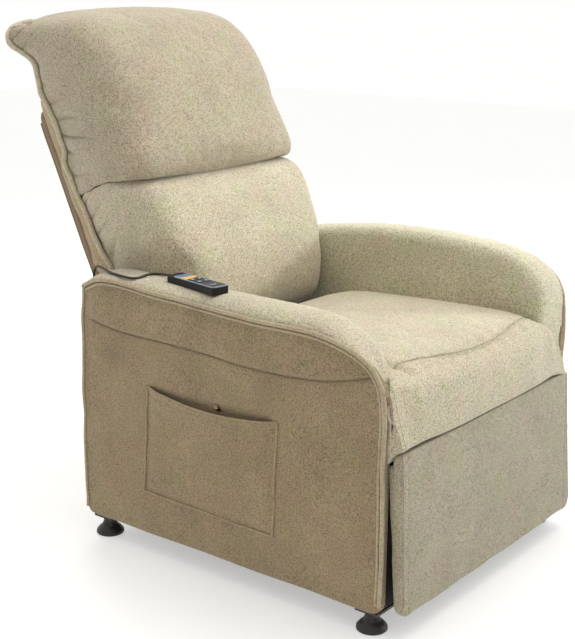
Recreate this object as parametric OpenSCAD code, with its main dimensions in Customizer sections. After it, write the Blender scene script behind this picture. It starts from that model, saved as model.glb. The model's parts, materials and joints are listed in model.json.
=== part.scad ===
// Lift recliner armchair: upholstered seat module on a lifting base, with a
// power back and leg rest, three actuators and a corded handset.
// Millimetres, +Z up, the chair faces -Y, the sitter's right is -X.

/* [Overall] */
// Half of the width across the outer side panels
half_w = 356; // [340:1:370]
// Thickness of each outer side panel
panel_t = 20; // [16:1:22]
// Thickness of the padding outside the pocket-side panel, and depth of the pocket's well
pad_t = 9; // [6:1:12]
// Shift of the whole chair along its depth, which centres its footprint
shift_y = -20; // [-40:1:0]

/* [Arms] */
// Distance from the middle to the inner face of each arm
arm_in = 255; // [254:0.5:258]
// Height of the right arm pad's top
right_arm_z = 600; // [596:1:604]
// Height of the left arm pad's top
left_arm_z = 624; // [604:1:634]

/* [Seat] */
// Half of the seat cushion's width between the arms
seat_half = 252; // [230:1:252.5]
// Half of the width of the cushion's front roll
roll_half = 340; // [300:1:345]
// Height of the seat at its front
seat_front_z = 506; // [490:1:512]
// Height of the seat at its rear
seat_rear_z = 480; // [470:1:486]

/* [Leg rest] */
// Half of the leg rest's width
leg_half = 340; // [300:1:345]
// Thickness of the wooden leg rest board
leg_board_t = 9; // [6:0.5:12]

/* [Back] */
// Half of the back cushions' width
back_half = 250; // [230:1:251]

/* [Links] */
// Radius of the main pivot pins
pin_r = 8; // [6:0.5:9]
// Radial running clearance of a pin in its link
run = 0.06; // [0.02:0.01:0.1]
// Radius of the actuator pivot pins
act_pin_r = 6; // [5:0.5:7]
// Radius of the actuator rods
rod_r = 9; // [7:0.5:10]

/* [Handset] */
// Length of the handset
hs_len = 156; // [140:1:165]
// Width of the handset
hs_w = 42; // [38:1:46]
// Diameter of the handset lead
lead_d = 5.5; // [5:0.1:6]

/* [Hidden] */
$fn = 48;

// Pivot centres in the side view, [y, z]
A = [-395, 98];      // lift arm on the base
C = [34, 128];       // lift arm on the seat frame
B = [-328, 118];     // rear link on the base
D = [235, 156];      // rear link on the seat frame
P = [215, 395];      // back hinge
S = [-330, 330];     // upper leg link on the seat frame
J = [-345.7, 150.7]; // knee of the leg links
T = [-490, 250];     // lower leg link on the leg rest
// Actuator pivots: fixed end, then rod end
LE = [119.5, 82]; LF = [-411.6, 171];
BE = [-163, 249]; BF = [235, 334];
GE = [-14.5, 222]; GF = [-320, 281];
// Radial room in each rod eye, which is the open pivot of its linkage
lift_eye = 11.5; back_eye = 11.5; leg_eye = 15;
// Actuator lanes across the width
back_x = 56; leg_x = -56;

module both() { children(); mirror([1, 0, 0]) children(); }
module xcyl(p, x0, x1, r) translate([x0, p[0], p[1]]) rotate([0, 90, 0]) cylinder(r = r, h = x1 - x0);
module yz(x0, x1) translate([x0, 0, 0]) rotate([90, 0, 90]) linear_extrude(x1 - x0) children();
module box(a, b) translate(a) cube(b - a);
module bar2d(a, b, w) {
  d = b - a;
  translate(a) circle(d = w + 4);
  translate(b) circle(d = w + 4);
  translate(a) rotate(atan2(d[1], d[0])) translate([0, -w / 2]) square([norm(d), w]);
}
module rrect(w, l, r) {
  square([w - 2 * r, l], center = true);
  square([w, l - 2 * r], center = true);
  for (i = [-1, 1], j = [-1, 1]) translate([i * (w / 2 - r), j * (l / 2 - r)]) circle(r);
}

// ---------------------------------------------------------------- base
module base_end_tubes() color("dimgray") for (y = [-487, 223]) difference() {
  box([-330, y, 45.5], [330, y + 40, 76]);
  box([-331, y + 2.5, 48], [331, y + 37.5, 73.5]);
}
module base_side_rails() color("dimgray") both() difference() {
  box([213, -447, 46], [237, 223, 76]);
  box([215.5, -448, 48.5], [234.5, 224, 73.5]);
}
module base_mid_tube() color("dimgray") {
  box([-213, 104, 46], [213, 134, 60]);
  for (s = [-1, 1]) yz(s * 11 - 2, s * 11 + 2)
    difference() {
      union() { translate([104, 60]) square([30, 22]); translate(LE) circle(13); }
      translate(LE) circle(act_pin_r - 0.01);
    }
  xcyl(LE, -13, 13, act_pin_r);
}
module base_pivot_brackets() color("dimgray") both() {
  yz(206, 213) polygon([[-430, 50], [-430, 76], [-415, 116], [-375, 116], [-360, 76], [-360, 50]]);
  xcyl(A, 196.4, 206, pin_r);
  yz(174, 180) polygon([[-447, 50], [-447, 74], [-372, 74], [-350, 96], [-345, 136], [-311, 136], [-308, 96], [-330, 50]]);
  xcyl(B, 180, 189.7, pin_r);
}
module foot_plates() color("dimgray") for (y = [-467, 243]) both()
  translate([0, 0, 0]) box([288, y - 26, 40], [352, y + 26, 45.5]);
module foot() rotate_extrude() polygon([[0, 0], [29, 0], [31, 2], [30.5, 7], [25, 14], [18, 20],
  [14.5, 27], [14, 33], [16.5, 36], [16.5, 40], [0, 40]]);
module front_feet() color("black") both() translate([330, -467, 0]) foot();
module rear_feet() color("black") both() translate([330, 243, 0]) foot();

// ---------------------------------------------------------------- lift arms
module lift_arms() color("gray") both() yz(196, 204) difference() {
  bar2d(A, C, 34);
  translate(A) circle(pin_r + run);
  translate(C) circle(pin_r + run);
}
module lever(axis, rod, c, w) for (s = [-1, 1]) yz(c + s * 11 - 2, c + s * 11 + 2) bar2d(axis, rod, w);
module lift_torque_tube() color("gray") difference() {
  union() {
    xcyl(A, -196, 196, 14);
    lever(A, LF, 0, 22);
    xcyl(LF, -13, 13, act_pin_r);
  }
  xcyl(A, -197, 197, 11);
}
module rear_lift_links() color("gray") both() yz(184, 190) difference() {
  bar2d(B, D, 28);
  translate(B) circle(pin_r + run);
  translate(D) circle(pin_r + 3);
}

// ---------------------------------------------------------------- seat frame
module seat_side_plates() color("burlywood") both() yz(240, 255) polygon([[-455, 300], [-455, 383],
  [180, 383], [188, 417], [242, 417], [256, 400], [256, 138], [218, 138], [180, 170], [62, 150],
  [57, 109], [11, 109], [6, 150], [-45, 176], [-80, 230], [-300, 290]]);
module seat_pivot_pins() color("silver") both() {
  xcyl(C, 196.4, 240, pin_r);
  xcyl(C, 205, 240, pin_r + 3);
  xcyl(D, 184.4, 240, pin_r);
  xcyl(S, 158.4, 240, pin_r);
  xcyl(S, 166, 240, pin_r + 4);
  xcyl(P, 222.4, 240, pin_r);
}
module seat_cross_rails() color("burlywood") {
  box([-240, -470, 350], [240, -445, 383]);
  box([-240, -20, 350], [240, 5, 383]);
}
module seat_cross_tubes() color("dimgray") for (q = [[BE, back_x, 72], [GE, leg_x, -32]]) {
  xcyl(q[0] + [0, q[2]], -240, 240, 12);
  for (s = [-1, 1]) yz(q[1] + s * 11 - 2, q[1] + s * 11 + 2) {
    translate(q[0]) circle(12);
    translate(q[0] + [-10, min(0, q[2])]) square([20, abs(q[2])]);
  }
  xcyl(q[0], q[1] - 13, q[1] + 13, act_pin_r);
}
module seat_webbing() color("dimgray") {
  for (x = [-186:62:186]) box([x - 24, -466, 383.2], [x + 24, 2, 384.8]);
  for (y = [-400:80:-40]) box([-236, y - 24, 384.8], [236, y + 24, 386.4]);
}
module seat_cushion() color("tan") difference() {
  union() {
    yz(-seat_half, seat_half) polygon([[-503, 387], [60, 387], [60, 470], [40, seat_rear_z],
      [-120, seat_rear_z + 10], [-330, seat_front_z - 4], [-440, seat_front_z], [-503, seat_front_z - 8]]);
    yz(-roll_half, roll_half) polygon([[-503.5, 378], [-524, 378], [-533, 386], [-536, 410], [-535, 440],
      [-527, 474], [-516, 490], [-503.5, 497]]);
  }
  xcyl(P, -300, 300, 198);
}

// ---------------------------------------------------------------- arms
panel_pts = [[-500, 62], [-500, 468], [-490, 497], [-462, 527], [-420, 546], [-351, 558], [284, 558],
  [290, 550], [290, 64], [274, 46.2], [-484, 46.2]];
module right_side_panel() color("tan") yz(-half_w + pad_t, -half_w + panel_t) polygon(panel_pts);
// Padding outside that panel, in four strips that leave the pocket's well open
module right_side_padding() color("tan") intersection() {
  yz(-half_w, -half_w + pad_t) polygon(panel_pts);
  union() {
    box([-400, -600, 0], [0, -238, 700]);
    box([-400, 92, 0], [0, 400, 700]);
    box([-400, -237.7, 0], [0, 91.7, 152]);
    box([-400, -237.7, 398], [0, 91.7, 700]);
  }
}
module left_side_panel() color("tan") yz(half_w - panel_t, half_w) polygon(panel_pts);
inner_pts = [[-500, 112], [-500, 468], [-490, 497], [-462, 527], [-420, 546], [-351, 558], [276, 558], [276, 112]];
module right_inner_panel() color("tan") yz(-arm_in - 15, -arm_in) polygon(inner_pts);
module left_inner_panel() color("tan") yz(arm_in, arm_in + 15) polygon(inner_pts);
module arm_front_boards() color("black") both() box([arm_in + 15, -500, 112], [half_w - panel_t, -486, 466]);
module arm_rear_boards() color("tan") both() box([arm_in + 15, 262, 112], [half_w - panel_t, 276, 558]);
module arm_pad(top) intersection() {
  yz(arm_in, half_w + 1) polygon([[286, 558.5], [286, top - 8], [278, top], [-282, top], [-351, top - 5],
    [-420, top - 20], [-462, top - 44], [-492, top - 78], [-502, 490], [-502, 468.5], [-500, 468.5], [-490, 497.5],
    [-462, 527.5], [-420, 546.5], [-351, 558.5]]);
  translate([0, 300, 0]) rotate([90, 0, 0]) linear_extrude(820) polygon([[arm_in, 400], [arm_in, top - 14],
    [arm_in + 5, top - 4], [arm_in + 14, top], [half_w - 13, top], [half_w - 3, top - 6], [half_w + 1, top - 16],
    [half_w + 1, 400]]);
}
module right_arm_pad() color("wheat") mirror([1, 0, 0]) arm_pad(right_arm_z);
module left_arm_pad() color("wheat") arm_pad(left_arm_z);
module side_pocket() color("tan") yz(-half_w - 3.5, -half_w) polygon([[-250, 139], [-256, 370], [-210, 368],
  [-98, 364], [40, 368], [96, 372], [104, 150], [98, 143]]);
module pocket_snap() color("silver") {
  xcyl([-98, 376], -half_w + 5, -half_w + 9, 9);
  xcyl([-98, 376], -half_w + 1, -half_w + 5, 5.5);
}
module rear_panel() color("tan") difference() {
  box([-half_w + panel_t, 276, 92], [half_w - panel_t, 284, 372]);
  box([-214, 275, 138], [-186, 285, 158]);
}
module power_inlet() color("black") difference() {
  union() {
    box([-213.5, 262, 138.5], [-186.5, 284, 157.5]);
    box([-218, 284, 134], [-182, 286, 162]);
  }
  box([-209, 268, 142], [-191, 290, 154]);
}
module control_box() color("black") box([-half_w + panel_t, 96, 200], [-300, 196, 296]);
module cord_grommet() color("black") translate([-303, 276, 499]) rotate([-90, 0, 0]) difference() {
  union() { cylinder(r = 9, h = 3); cylinder(r = 6.5, h = 8); }
  translate([0, 0, -1]) cylinder(r = lead_d / 2, h = 10);
}
module lead_run(a, b) {
  d = b - a;
  translate(a) rotate([0, acos(d[2] / norm(d)), atan2(d[1], d[0])]) cylinder(d = lead_d, h = norm(d), $fn = 16);
  translate(b) sphere(d = lead_d, $fn = 16);
}
module inner_lead() color("black") {
  lead_run([-318, 255, 440], [-318, 225, 380]);
  lead_run([-318, 225, 380], [-318, 170, 330]);
  lead_run([-318, 170, 330], [-318, 160, 299]);
}

// Free lead from the handset over the arm's rear edge to its grommet
cord_pts = [[-289.5, 90.4, 607.55], [-285, 108, 605.6], [-281.5, 122, 603.8], [-283, 133, 603.2],
  [-292, 140, 603.1], [-307, 139.5, 603.1], [-323, 136.5, 603.1], [-336, 136.5, 603.1], [-343.5, 142, 603.1],
  [-346, 153, 603.1], [-345, 167, 603.1], [-342, 187, 603.1], [-338, 207, 603.1], [-332, 225, 603.1],
  [-325, 241, 603.1], [-318, 256, 603.1], [-313, 269, 603.1], [-309.5, 281, 602.4], [-307.5, 290, 597],
  [-306, 295.5, 587], [-305, 298, 573], [-304, 300, 557], [-303.5, 302, 541], [-303, 304, 525],
  [-303, 303.5, 512], [-303, 299, 503], [-303, 292, 499.4], [-303, 284.1, 499]];
nc = len(cord_pts);
function unit(v) = v / norm(v);
function tan_at(i) = unit(cord_pts[min(i + 1, nc - 1)] - cord_pts[max(i - 1, 0)]);
function side_at(i) = i == 0 ? unit(cross(tan_at(0), [0, 0, 1]))
  : let (p = side_at(i - 1), t = tan_at(i)) unit(p - (p * t) * t);
cord_rings = [for (i = [0:nc - 1]) let (t = tan_at(i), s = side_at(i), u = cross(t, s))
  for (k = [0:9]) cord_pts[i] + lead_d / 2 * (cos(36 * k) * s + sin(36 * k) * u)];
module handset_cord() color("black") polyhedron(cord_rings, concat(
  [[for (k = [0:9]) 9 - k]], [[for (k = [0:9]) (nc - 1) * 10 + k]],
  [for (i = [0:nc - 2], k = [0:9]) [i * 10 + k, i * 10 + (k + 1) % 10, (i + 1) * 10 + (k + 1) % 10]],
  [for (i = [0:nc - 2], k = [0:9]) [i * 10 + k, (i + 1) * 10 + (k + 1) % 10, (i + 1) * 10 + k]]));

// ---------------------------------------------------------------- back
// Points on the back frame: u runs up the back, n runs rearward from the cushions' rear
bu = [0.42, 0.9075]; bn = [0.9075, -0.42]; b0 = [338, 637];
function bp(u, n) = b0 + u * bu + n * bn;
module back_pivot_tube() color("dimgray") difference() {
  union() {
    xcyl(P, -222, 222, 12);
    lever(P, BF, back_x, 22);
    xcyl(BF, back_x - 13, back_x + 13, act_pin_r);
  }
  xcyl(P, -223, 223, 9.5);
}
module back_hinge_plates() color("dimgray") both() yz(222, 232) difference() {
  union() { bar2d(P, bp(-62, 23), 26); bar2d(bp(-62, 23), bp(-10, 23), 26); }
  translate(P) circle(pin_r + run);
}
module back_side_rails() color("burlywood") both() yz(198, 222)
  polygon([bp(-90, 15), bp(262, 15), bp(262, 40), bp(-90, 40)]);
module back_cross_rails() color("burlywood") for (u = [-85, 60, 215]) yz(-198, 198)
  polygon([bp(u, 15), bp(u + 45, 15), bp(u + 45, 40), bp(u, 40)]);
module lumbar_cushion() color("wheat") yz(-back_half, back_half) polygon([[61, 494], [68, 570], [90, 638],
  [127, 689], [152, 750], [178, 784], [426, 797], [338, 637], [303, 578], [278, 530], [200, 436], [122, 436], [80, 462]]);
module headrest_cushion() color("wheat") yz(-back_half, back_half) polygon([[176, 788], [187, 831], [224, 933],
  [259, 1009], [324, 1087], [381, 1118], [450, 1121], [540, 1110], [582, 1098], [590, 1090], [550, 1036], [523, 994],
  [481, 930], [451, 881], [427, 801]]);
module outer_back() color("tan") yz(-246, 246) polygon([bp(300, 41), bp(-92, 41), [320, 470], [318, 394],
  [326, 394], [329, 468], bp(-92, 49.5), bp(300, 49.5)]);

// ---------------------------------------------------------------- leg rest
module leg_upper_links() color("gray") {
  both() {
    yz(158, 164) difference() {
      bar2d(S, J, 24);
      translate(S) circle(pin_r + run);
    }
    xcyl(J, 150.3, 158, pin_r - 1);
  }
  difference() {
    union() {
      xcyl(S, -158, 158, 11);
      lever(S, GF, leg_x, 20);
      xcyl(GF, leg_x - 13, leg_x + 13, act_pin_r);
    }
    xcyl(S, -159, 159, 8.5);
  }
}
module leg_lower_links() color("gray") both() yz(150, 156) difference() {
  bar2d(J, T, 22);
  translate(J) circle(pin_r - 1 + run);
  translate(T) circle(pin_r - 1 + run);
}
function fr(z, off) = [-503.5 - 27 * (335 - z) / 265 - off, z];
module footrest_brackets() color("gray") both() {
  yz(142, 148) {
    polygon([fr(310, 0.2), [-480, 262], [-480, 240], fr(190, 0.2)]);
    translate(T) circle(12);
  }
  xcyl(T, 148, 155.7, pin_r - 1);
}
module footrest_board() color("burlywood") yz(-leg_half + 8, leg_half - 8)
  polygon([fr(340, 0.2), fr(340, leg_board_t), fr(62, leg_board_t), fr(62, 0.2)]);
module footrest_pad() color("tan") yz(-leg_half, leg_half) polygon([fr(352, 0.2), [-506, 370], [-515, 374],
  [-525, 373], [-531, 366], [-551, 76], [-550, 50], [-545, 44], [-535, 44], fr(50, 2), fr(61.5, 0.2),
  fr(61.5, leg_board_t + 0.2), fr(340.5, leg_board_t + 0.2), fr(340.5, 0.2)]);

// ---------------------------------------------------------------- actuators
module act_frame(e, f, c) translate([c, e[0], e[1]]) rotate([atan2(f[1] - e[1], f[0] - e[0]), 0, 0]) children();
// The local +Y axis runs from the fixed pivot to the rod eye
module act_housing(len_h) difference() {
  union() {
    rotate([0, 90, 0]) translate([0, 0, -8.6]) cylinder(r = 12, h = 17.2);
    box([-8.6, 0, -10], [8.6, 24, 10]);
    box([-17, 22, -17], [17, 64, 17]);
    rotate([-90, 0, 0]) translate([0, 0, 60]) cylinder(r = 14, h = len_h - 60);
  }
  rotate([0, 90, 0]) translate([0, 0, -9]) cylinder(r = act_pin_r + run, h = 18);
  rotate([-90, 0, 0]) translate([0, 0, 66]) cylinder(r = rod_r + run, h = len_h);
}
module act_motor(s) translate([0, 0, s * 37]) {
  rotate([-90, 0, 0]) translate([0, 0, 24]) cylinder(r = 20, h = 92);
  box([-9, 28, -20], [9, 58, 20]);
}
module act_rod(l0, start, eye) {
  rotate([-90, 0, 0]) translate([0, 0, start]) cylinder(r = rod_r, h = l0 - start - eye - 1);
  difference() {
    rotate([0, 90, 0]) translate([0, 0, -8.4]) {
      translate([0, l0, 0]) cylinder(r = eye + 4, h = 16.8);
    }
    rotate([0, 90, 0]) translate([0, l0, -9]) cylinder(r = eye, h = 18);
  }
}
module lift_actuator_housing() color("black") act_frame(LE, LF, 0) act_housing(400);
module lift_actuator_motor() color("gray") act_frame(LE, LF, 0) difference() { act_motor(-1); box([-18, 0, -17], [18, 64, 17]); rotate([-90, 0, 0]) cylinder(r = 14.2, h = 200); }
module lift_actuator_rod() color("silver") act_frame(LE, LF, 0) act_rod(norm(LF - LE), 80, lift_eye);
module back_actuator_housing() color("black") act_frame(BE, BF, back_x) act_housing(250);
module back_actuator_motor() color("gray") act_frame(BE, BF, back_x) difference() { act_motor(-1); box([-18, 0, -17], [18, 64, 17]); rotate([-90, 0, 0]) cylinder(r = 14.2, h = 200); }
module back_actuator_rod() color("silver") act_frame(BE, BF, back_x) act_rod(norm(BF - BE), 130, back_eye);
module leg_actuator_housing() color("black") act_frame(GE, GF, leg_x) act_housing(240);
module leg_actuator_motor() color("gray") act_frame(GE, GF, leg_x) difference() { act_motor(1); box([-18, 0, -17], [18, 64, 17]); rotate([-90, 0, 0]) cylinder(r = 14.2, h = 200); }
module leg_actuator_rod() color("silver") act_frame(GE, GF, leg_x) act_rod(norm(GF - GE), 80, leg_eye);

// ---------------------------------------------------------------- handset
module hs() translate([-306.8, -4.8, right_arm_z + 0.3]) rotate([0, 0, -10.3]) children();
key_pos = [[-9, 4], [9, 4], [-9, -18], [9, -18]];
module handset_shell() color("black") hs() {
  difference() {
    linear_extrude(14) rrect(hs_w, hs_len, 7);
    translate([0, -7, 8]) linear_extrude(7) rrect(35, 66, 4);
  }
  translate([0, hs_len / 2, 7.3]) rotate([-90, 0, 0]) cylinder(r1 = 4.6, r2 = 3.1, h = 18);
}
module handset_face() color("midnightblue") hs() translate([0, 0, 14]) difference() {
  translate([0, -9, 0]) linear_extrude(1.8) rrect(38, 128, 6);
  for (k = key_pos) translate([k[0], k[1], -1]) linear_extrude(5) rrect(13, 15, 3);
}
module key(i) hs() translate([key_pos[i][0], key_pos[i][1], 0]) {
  translate([0, 0, 10.4]) linear_extrude(6.6) rrect(12.2, 14.2, 2.6);
  translate([0, 0, 10.4]) linear_extrude(1.6) rrect(15.4, 17.4, 2.6);
}
module key_back_up() color("silver") key(0);
module key_back_down() color("silver") key(1);
module key_legs_up() color("silver") key(2);
module key_legs_down() color("silver") key(3);

module at_home() translate([0, shift_y, 0]) children();
at_home() base_end_tubes();
at_home() base_mid_tube();
at_home() base_side_rails();
at_home() base_pivot_brackets();
at_home() foot_plates();
at_home() front_feet();
at_home() rear_feet();
at_home() lift_arms();
at_home() lift_torque_tube();
at_home() rear_lift_links();
at_home() seat_side_plates();
at_home() seat_pivot_pins();
at_home() seat_cross_rails();
at_home() seat_cross_tubes();
at_home() seat_webbing();
at_home() seat_cushion();
at_home() right_side_panel();
at_home() right_side_padding();
at_home() left_side_panel();
at_home() right_inner_panel();
at_home() left_inner_panel();
at_home() arm_front_boards();
at_home() arm_rear_boards();
at_home() right_arm_pad();
at_home() left_arm_pad();
at_home() side_pocket();
at_home() pocket_snap();
at_home() rear_panel();
at_home() control_box();
at_home() power_inlet();
at_home() cord_grommet();
at_home() inner_lead();
at_home() handset_cord();
at_home() back_pivot_tube();
at_home() back_hinge_plates();
at_home() back_side_rails();
at_home() back_cross_rails();
at_home() lumbar_cushion();
at_home() headrest_cushion();
at_home() outer_back();
at_home() leg_upper_links();
at_home() leg_lower_links();
at_home() footrest_brackets();
at_home() footrest_board();
at_home() footrest_pad();
at_home() lift_actuator_housing();
at_home() lift_actuator_motor();
at_home() lift_actuator_rod();
at_home() back_actuator_housing();
at_home() back_actuator_motor();
at_home() back_actuator_rod();
at_home() leg_actuator_housing();
at_home() leg_actuator_motor();
at_home() leg_actuator_rod();
at_home() handset_shell();
at_home() handset_face();
at_home() key_back_up();
at_home() key_back_down();
at_home() key_legs_up();
at_home() key_legs_down();
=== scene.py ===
"""Looks of the lift recliner chair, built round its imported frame."""
import json
import math

import bmesh
import bpy
import numpy as np
from mathutils import Matrix, Vector

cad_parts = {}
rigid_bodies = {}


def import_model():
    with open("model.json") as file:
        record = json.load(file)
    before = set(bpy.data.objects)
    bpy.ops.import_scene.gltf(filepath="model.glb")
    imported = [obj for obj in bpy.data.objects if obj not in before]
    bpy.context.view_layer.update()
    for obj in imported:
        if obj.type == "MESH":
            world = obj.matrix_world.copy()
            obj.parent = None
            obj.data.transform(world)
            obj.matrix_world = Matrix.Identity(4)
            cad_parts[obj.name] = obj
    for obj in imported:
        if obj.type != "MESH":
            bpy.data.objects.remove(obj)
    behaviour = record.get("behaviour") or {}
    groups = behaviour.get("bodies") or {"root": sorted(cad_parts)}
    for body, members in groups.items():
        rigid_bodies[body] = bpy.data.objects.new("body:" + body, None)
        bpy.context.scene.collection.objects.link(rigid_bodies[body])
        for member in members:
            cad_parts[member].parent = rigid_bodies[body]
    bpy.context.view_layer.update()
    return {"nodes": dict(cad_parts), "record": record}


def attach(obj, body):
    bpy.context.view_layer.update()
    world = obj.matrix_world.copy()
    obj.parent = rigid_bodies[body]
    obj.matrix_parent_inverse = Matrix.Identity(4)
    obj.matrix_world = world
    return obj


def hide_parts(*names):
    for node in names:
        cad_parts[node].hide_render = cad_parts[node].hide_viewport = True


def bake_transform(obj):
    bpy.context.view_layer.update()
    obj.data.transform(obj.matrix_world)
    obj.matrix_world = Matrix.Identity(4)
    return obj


for _o in list(bpy.data.objects):
    bpy.data.objects.remove(_o, do_unlink=True)
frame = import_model()
NODES = frame["nodes"]
YS = -20.0  # the design's own depth origin, in mm, against the row frame


# ------------------------------------------------------------------ geometry kit
def w2(p):
    p = np.asarray(p, float).reshape(-1, 3)
    return np.column_stack([p[:, 0], p[:, 1] + YS, p[:, 2]]) / 1000.0


def new_mesh(name, v, f, smooth=True):
    me = bpy.data.meshes.new(name)
    me.from_pydata(w2(v).tolist(), [], [tuple(int(i) for i in q) for q in f])
    me.validate()
    me.update()
    o = bpy.data.objects.new(name, me)
    bpy.context.scene.collection.objects.link(o)
    if smooth:
        me.polygons.foreach_set("use_smooth", [True] * len(me.polygons))
    return o


def get_co(o):
    n = len(o.data.vertices)
    a = np.zeros(n * 3)
    o.data.vertices.foreach_get("co", a)
    a = a.reshape(-1, 3) * 1000.0
    a[:, 1] -= YS
    return a


def set_co(o, a):
    o.data.vertices.foreach_set("co", w2(a).ravel())
    o.data.update()


def normals(o):
    o.data.update()
    n = len(o.data.vertices)
    a = np.zeros(n * 3)
    o.data.vertices.foreach_get("normal", a)
    return a.reshape(-1, 3)


def bake(o):
    bpy.context.view_layer.update()
    dg = bpy.context.evaluated_depsgraph_get()
    me = bpy.data.meshes.new_from_object(o.evaluated_get(dg))
    o.modifiers.clear()
    old = o.data
    o.data = me
    bpy.data.meshes.remove(old)
    me.polygons.foreach_set("use_smooth", [True] * len(me.polygons))
    return o


def grid_faces(nu, nv, off=0, cyc_u=False, cyc_v=False, flip=False):
    f = []
    for i in range(nu if cyc_u else nu - 1):
        for j in range(nv if cyc_v else nv - 1):
            a, b = off + i * nv + j, off + ((i + 1) % nu) * nv + j
            c, d = off + ((i + 1) % nu) * nv + (j + 1) % nv, off + i * nv + (j + 1) % nv
            f.append((a, d, c, b) if flip else (a, b, c, d))
    return f


def grid(name, P, cyc_u=False, cyc_v=False, flip=False):
    P = np.asarray(P, float)
    nu, nv = P.shape[:2]
    return new_mesh(name, P.reshape(-1, 3), grid_faces(nu, nv, 0, cyc_u, cyc_v, flip))


def catmull(pts, n, closed=False):
    """n points along a smooth curve through pts, evenly spaced along it."""
    p = np.asarray(pts, float)
    if closed:
        q = np.vstack([p[-1], p, p[0], p[1]])
    else:
        q = np.vstack([2 * p[0] - p[1], p, 2 * p[-1] - p[-2]])
    out = []
    m = len(q) - 3
    for i in range(m):
        a, b, c, d = q[i:i + 4]
        ta, tb = np.linalg.norm(b - a) ** .5 + 1e-9, np.linalg.norm(c - b) ** .5 + 1e-9
        tc = np.linalg.norm(d - c) ** .5 + 1e-9
        m1 = ((b - a) / ta - (c - a) / (ta + tb) + (c - b) / tb) * tb
        m2 = ((c - b) / tb - (d - b) / (tb + tc) + (d - c) / tc) * tb
        t = np.linspace(0, 1, 25)[:-1, None]
        out.append((2 * t**3 - 3 * t**2 + 1) * b + (t**3 - 2 * t**2 + t) * m1 + (-2 * t**3 + 3 * t**2) * c + (t**3 - t**2) * m2)
    out.append(q[m + 1][None] if not closed else out[0][:1])
    c = np.vstack(out)
    s = np.r_[0, np.cumsum(np.linalg.norm(np.diff(c, axis=0), axis=1))]
    k = np.linspace(0, s[-1], n)
    return np.column_stack([np.interp(k, s, c[:, i]) for i in range(c.shape[1])])


def resample(c, n):
    c = np.asarray(c, float)
    s = np.r_[0, np.cumsum(np.linalg.norm(np.diff(c, axis=0), axis=1))]
    k = np.linspace(0, s[-1], n)
    return np.column_stack([np.interp(k, s, c[:, i]) for i in range(c.shape[1])])


def length(c):
    return float(np.linalg.norm(np.diff(np.asarray(c, float), axis=0), axis=1).sum())


def smoothstep(a, b, x):
    t = np.clip((np.asarray(x, float) - a) / (b - a), 0, 1)
    return t * t * (3 - 2 * t)


def bump(x, c, w):
    return np.exp(-((np.asarray(x, float) - c) / w) ** 2)


def hash3(i, j, k, seed):
    h = (i * 374761393 + j * 668265263 + k * 2147483647 + seed * 1274126177) & 0xFFFFFFFF
    h = ((h ^ (h >> 13)) * 1274126177) & 0xFFFFFFFF
    h = ((h ^ (h >> 16)) * 2246822519) & 0xFFFFFFFF
    return ((h ^ (h >> 15)) & 0xFFFFFF) / float(0xFFFFFF) * 2 - 1


def vnoise(p, scale, seed=1):
    """Smooth value noise in -1..1 at points p (mm), with features about scale mm."""
    q = np.asarray(p, float) / scale
    i = np.floor(q).astype(np.int64)
    f = q - i
    f = f * f * (3 - 2 * f)
    r = 0
    for a in (0, 1):
        for b in (0, 1):
            for c in (0, 1):
                w = (f[:, 0] if a else 1 - f[:, 0]) * (f[:, 1] if b else 1 - f[:, 1]) * (f[:, 2] if c else 1 - f[:, 2])
                r = r + w * hash3(i[:, 0] + a, i[:, 1] + b, i[:, 2] + c, seed)
    return r


def fbm(p, scale, seed=1, octaves=3):
    r, amp, tot = 0, 1.0, 0
    for k in range(octaves):
        r = r + amp * vnoise(p, scale / 2**k, seed + 7 * k)
        tot += amp
        amp *= 0.5
    return r / tot


def tube(name, path, r, sides=10, closed=False, step=5.0, caps=True, pre=False, wob=0.0, seed=3):
    """A round tube along path. r is a number or one value per given point."""
    path = np.asarray(path, float)
    if not pre:
        n = max(4, int(length(path) / step))
        dense = catmull(path, n, closed)
    else:
        dense = path
        n = len(path)
    if closed:
        dense = dense[:-1]
        n = len(dense)
    rad = np.full(n, float(r)) if np.isscalar(r) else np.interp(np.linspace(0, 1, n), np.linspace(0, 1, len(r)), r)
    if wob:
        rad = rad * (1 + wob * vnoise(dense, 14.0, seed))
    if closed:
        T = np.roll(dense, -1, 0) - np.roll(dense, 1, 0)
    else:
        T = np.gradient(dense, axis=0)
    T /= np.linalg.norm(T, axis=1)[:, None] + 1e-12
    u = np.cross(T[0], [0.0, 0.0, 1.0])
    if np.linalg.norm(u) < 0.2:
        u = np.cross(T[0], [1.0, 0.0, 0.0])
    u /= np.linalg.norm(u)
    U = []
    for i in range(n):
        u = u - (u @ T[i]) * T[i]
        u /= np.linalg.norm(u)
        U.append(u)
    U = np.array(U)
    V = np.cross(T, U)
    if closed:
        # undo the twist left when the frame comes back to its start
        e = U[-1] - (U[-1] @ T[0]) * T[0]
        e /= np.linalg.norm(e)
        ang = math.atan2(float(e @ V[0]), float(e @ U[0]))
        a = -np.linspace(0, 1, n) * ang
        U, V = (U * np.cos(a)[:, None] + V * np.sin(a)[:, None]), (V * np.cos(a)[:, None] - U * np.sin(a)[:, None])
    k = np.arange(sides) * 2 * math.pi / sides
    P = dense[:, None] + rad[:, None, None] * (U[:, None] * np.cos(k)[None, :, None] + V[:, None] * np.sin(k)[None, :, None])
    v = P.reshape(-1, 3)
    f = grid_faces(n, sides, 0, closed, True, flip=True)
    if caps and not closed:
        v = np.vstack([v, dense[0] - T[0] * rad[0] * .5, dense[-1] + T[-1] * rad[-1] * .5])
        a, b = n * sides, n * sides + 1
        f += [(a, (j + 1) % sides, j) for j in range(sides)]
        f += [(b, (n - 1) * sides + j, (n - 1) * sides + (j + 1) % sides) for j in range(sides)]
    return new_mesh(name, v, f)


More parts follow.
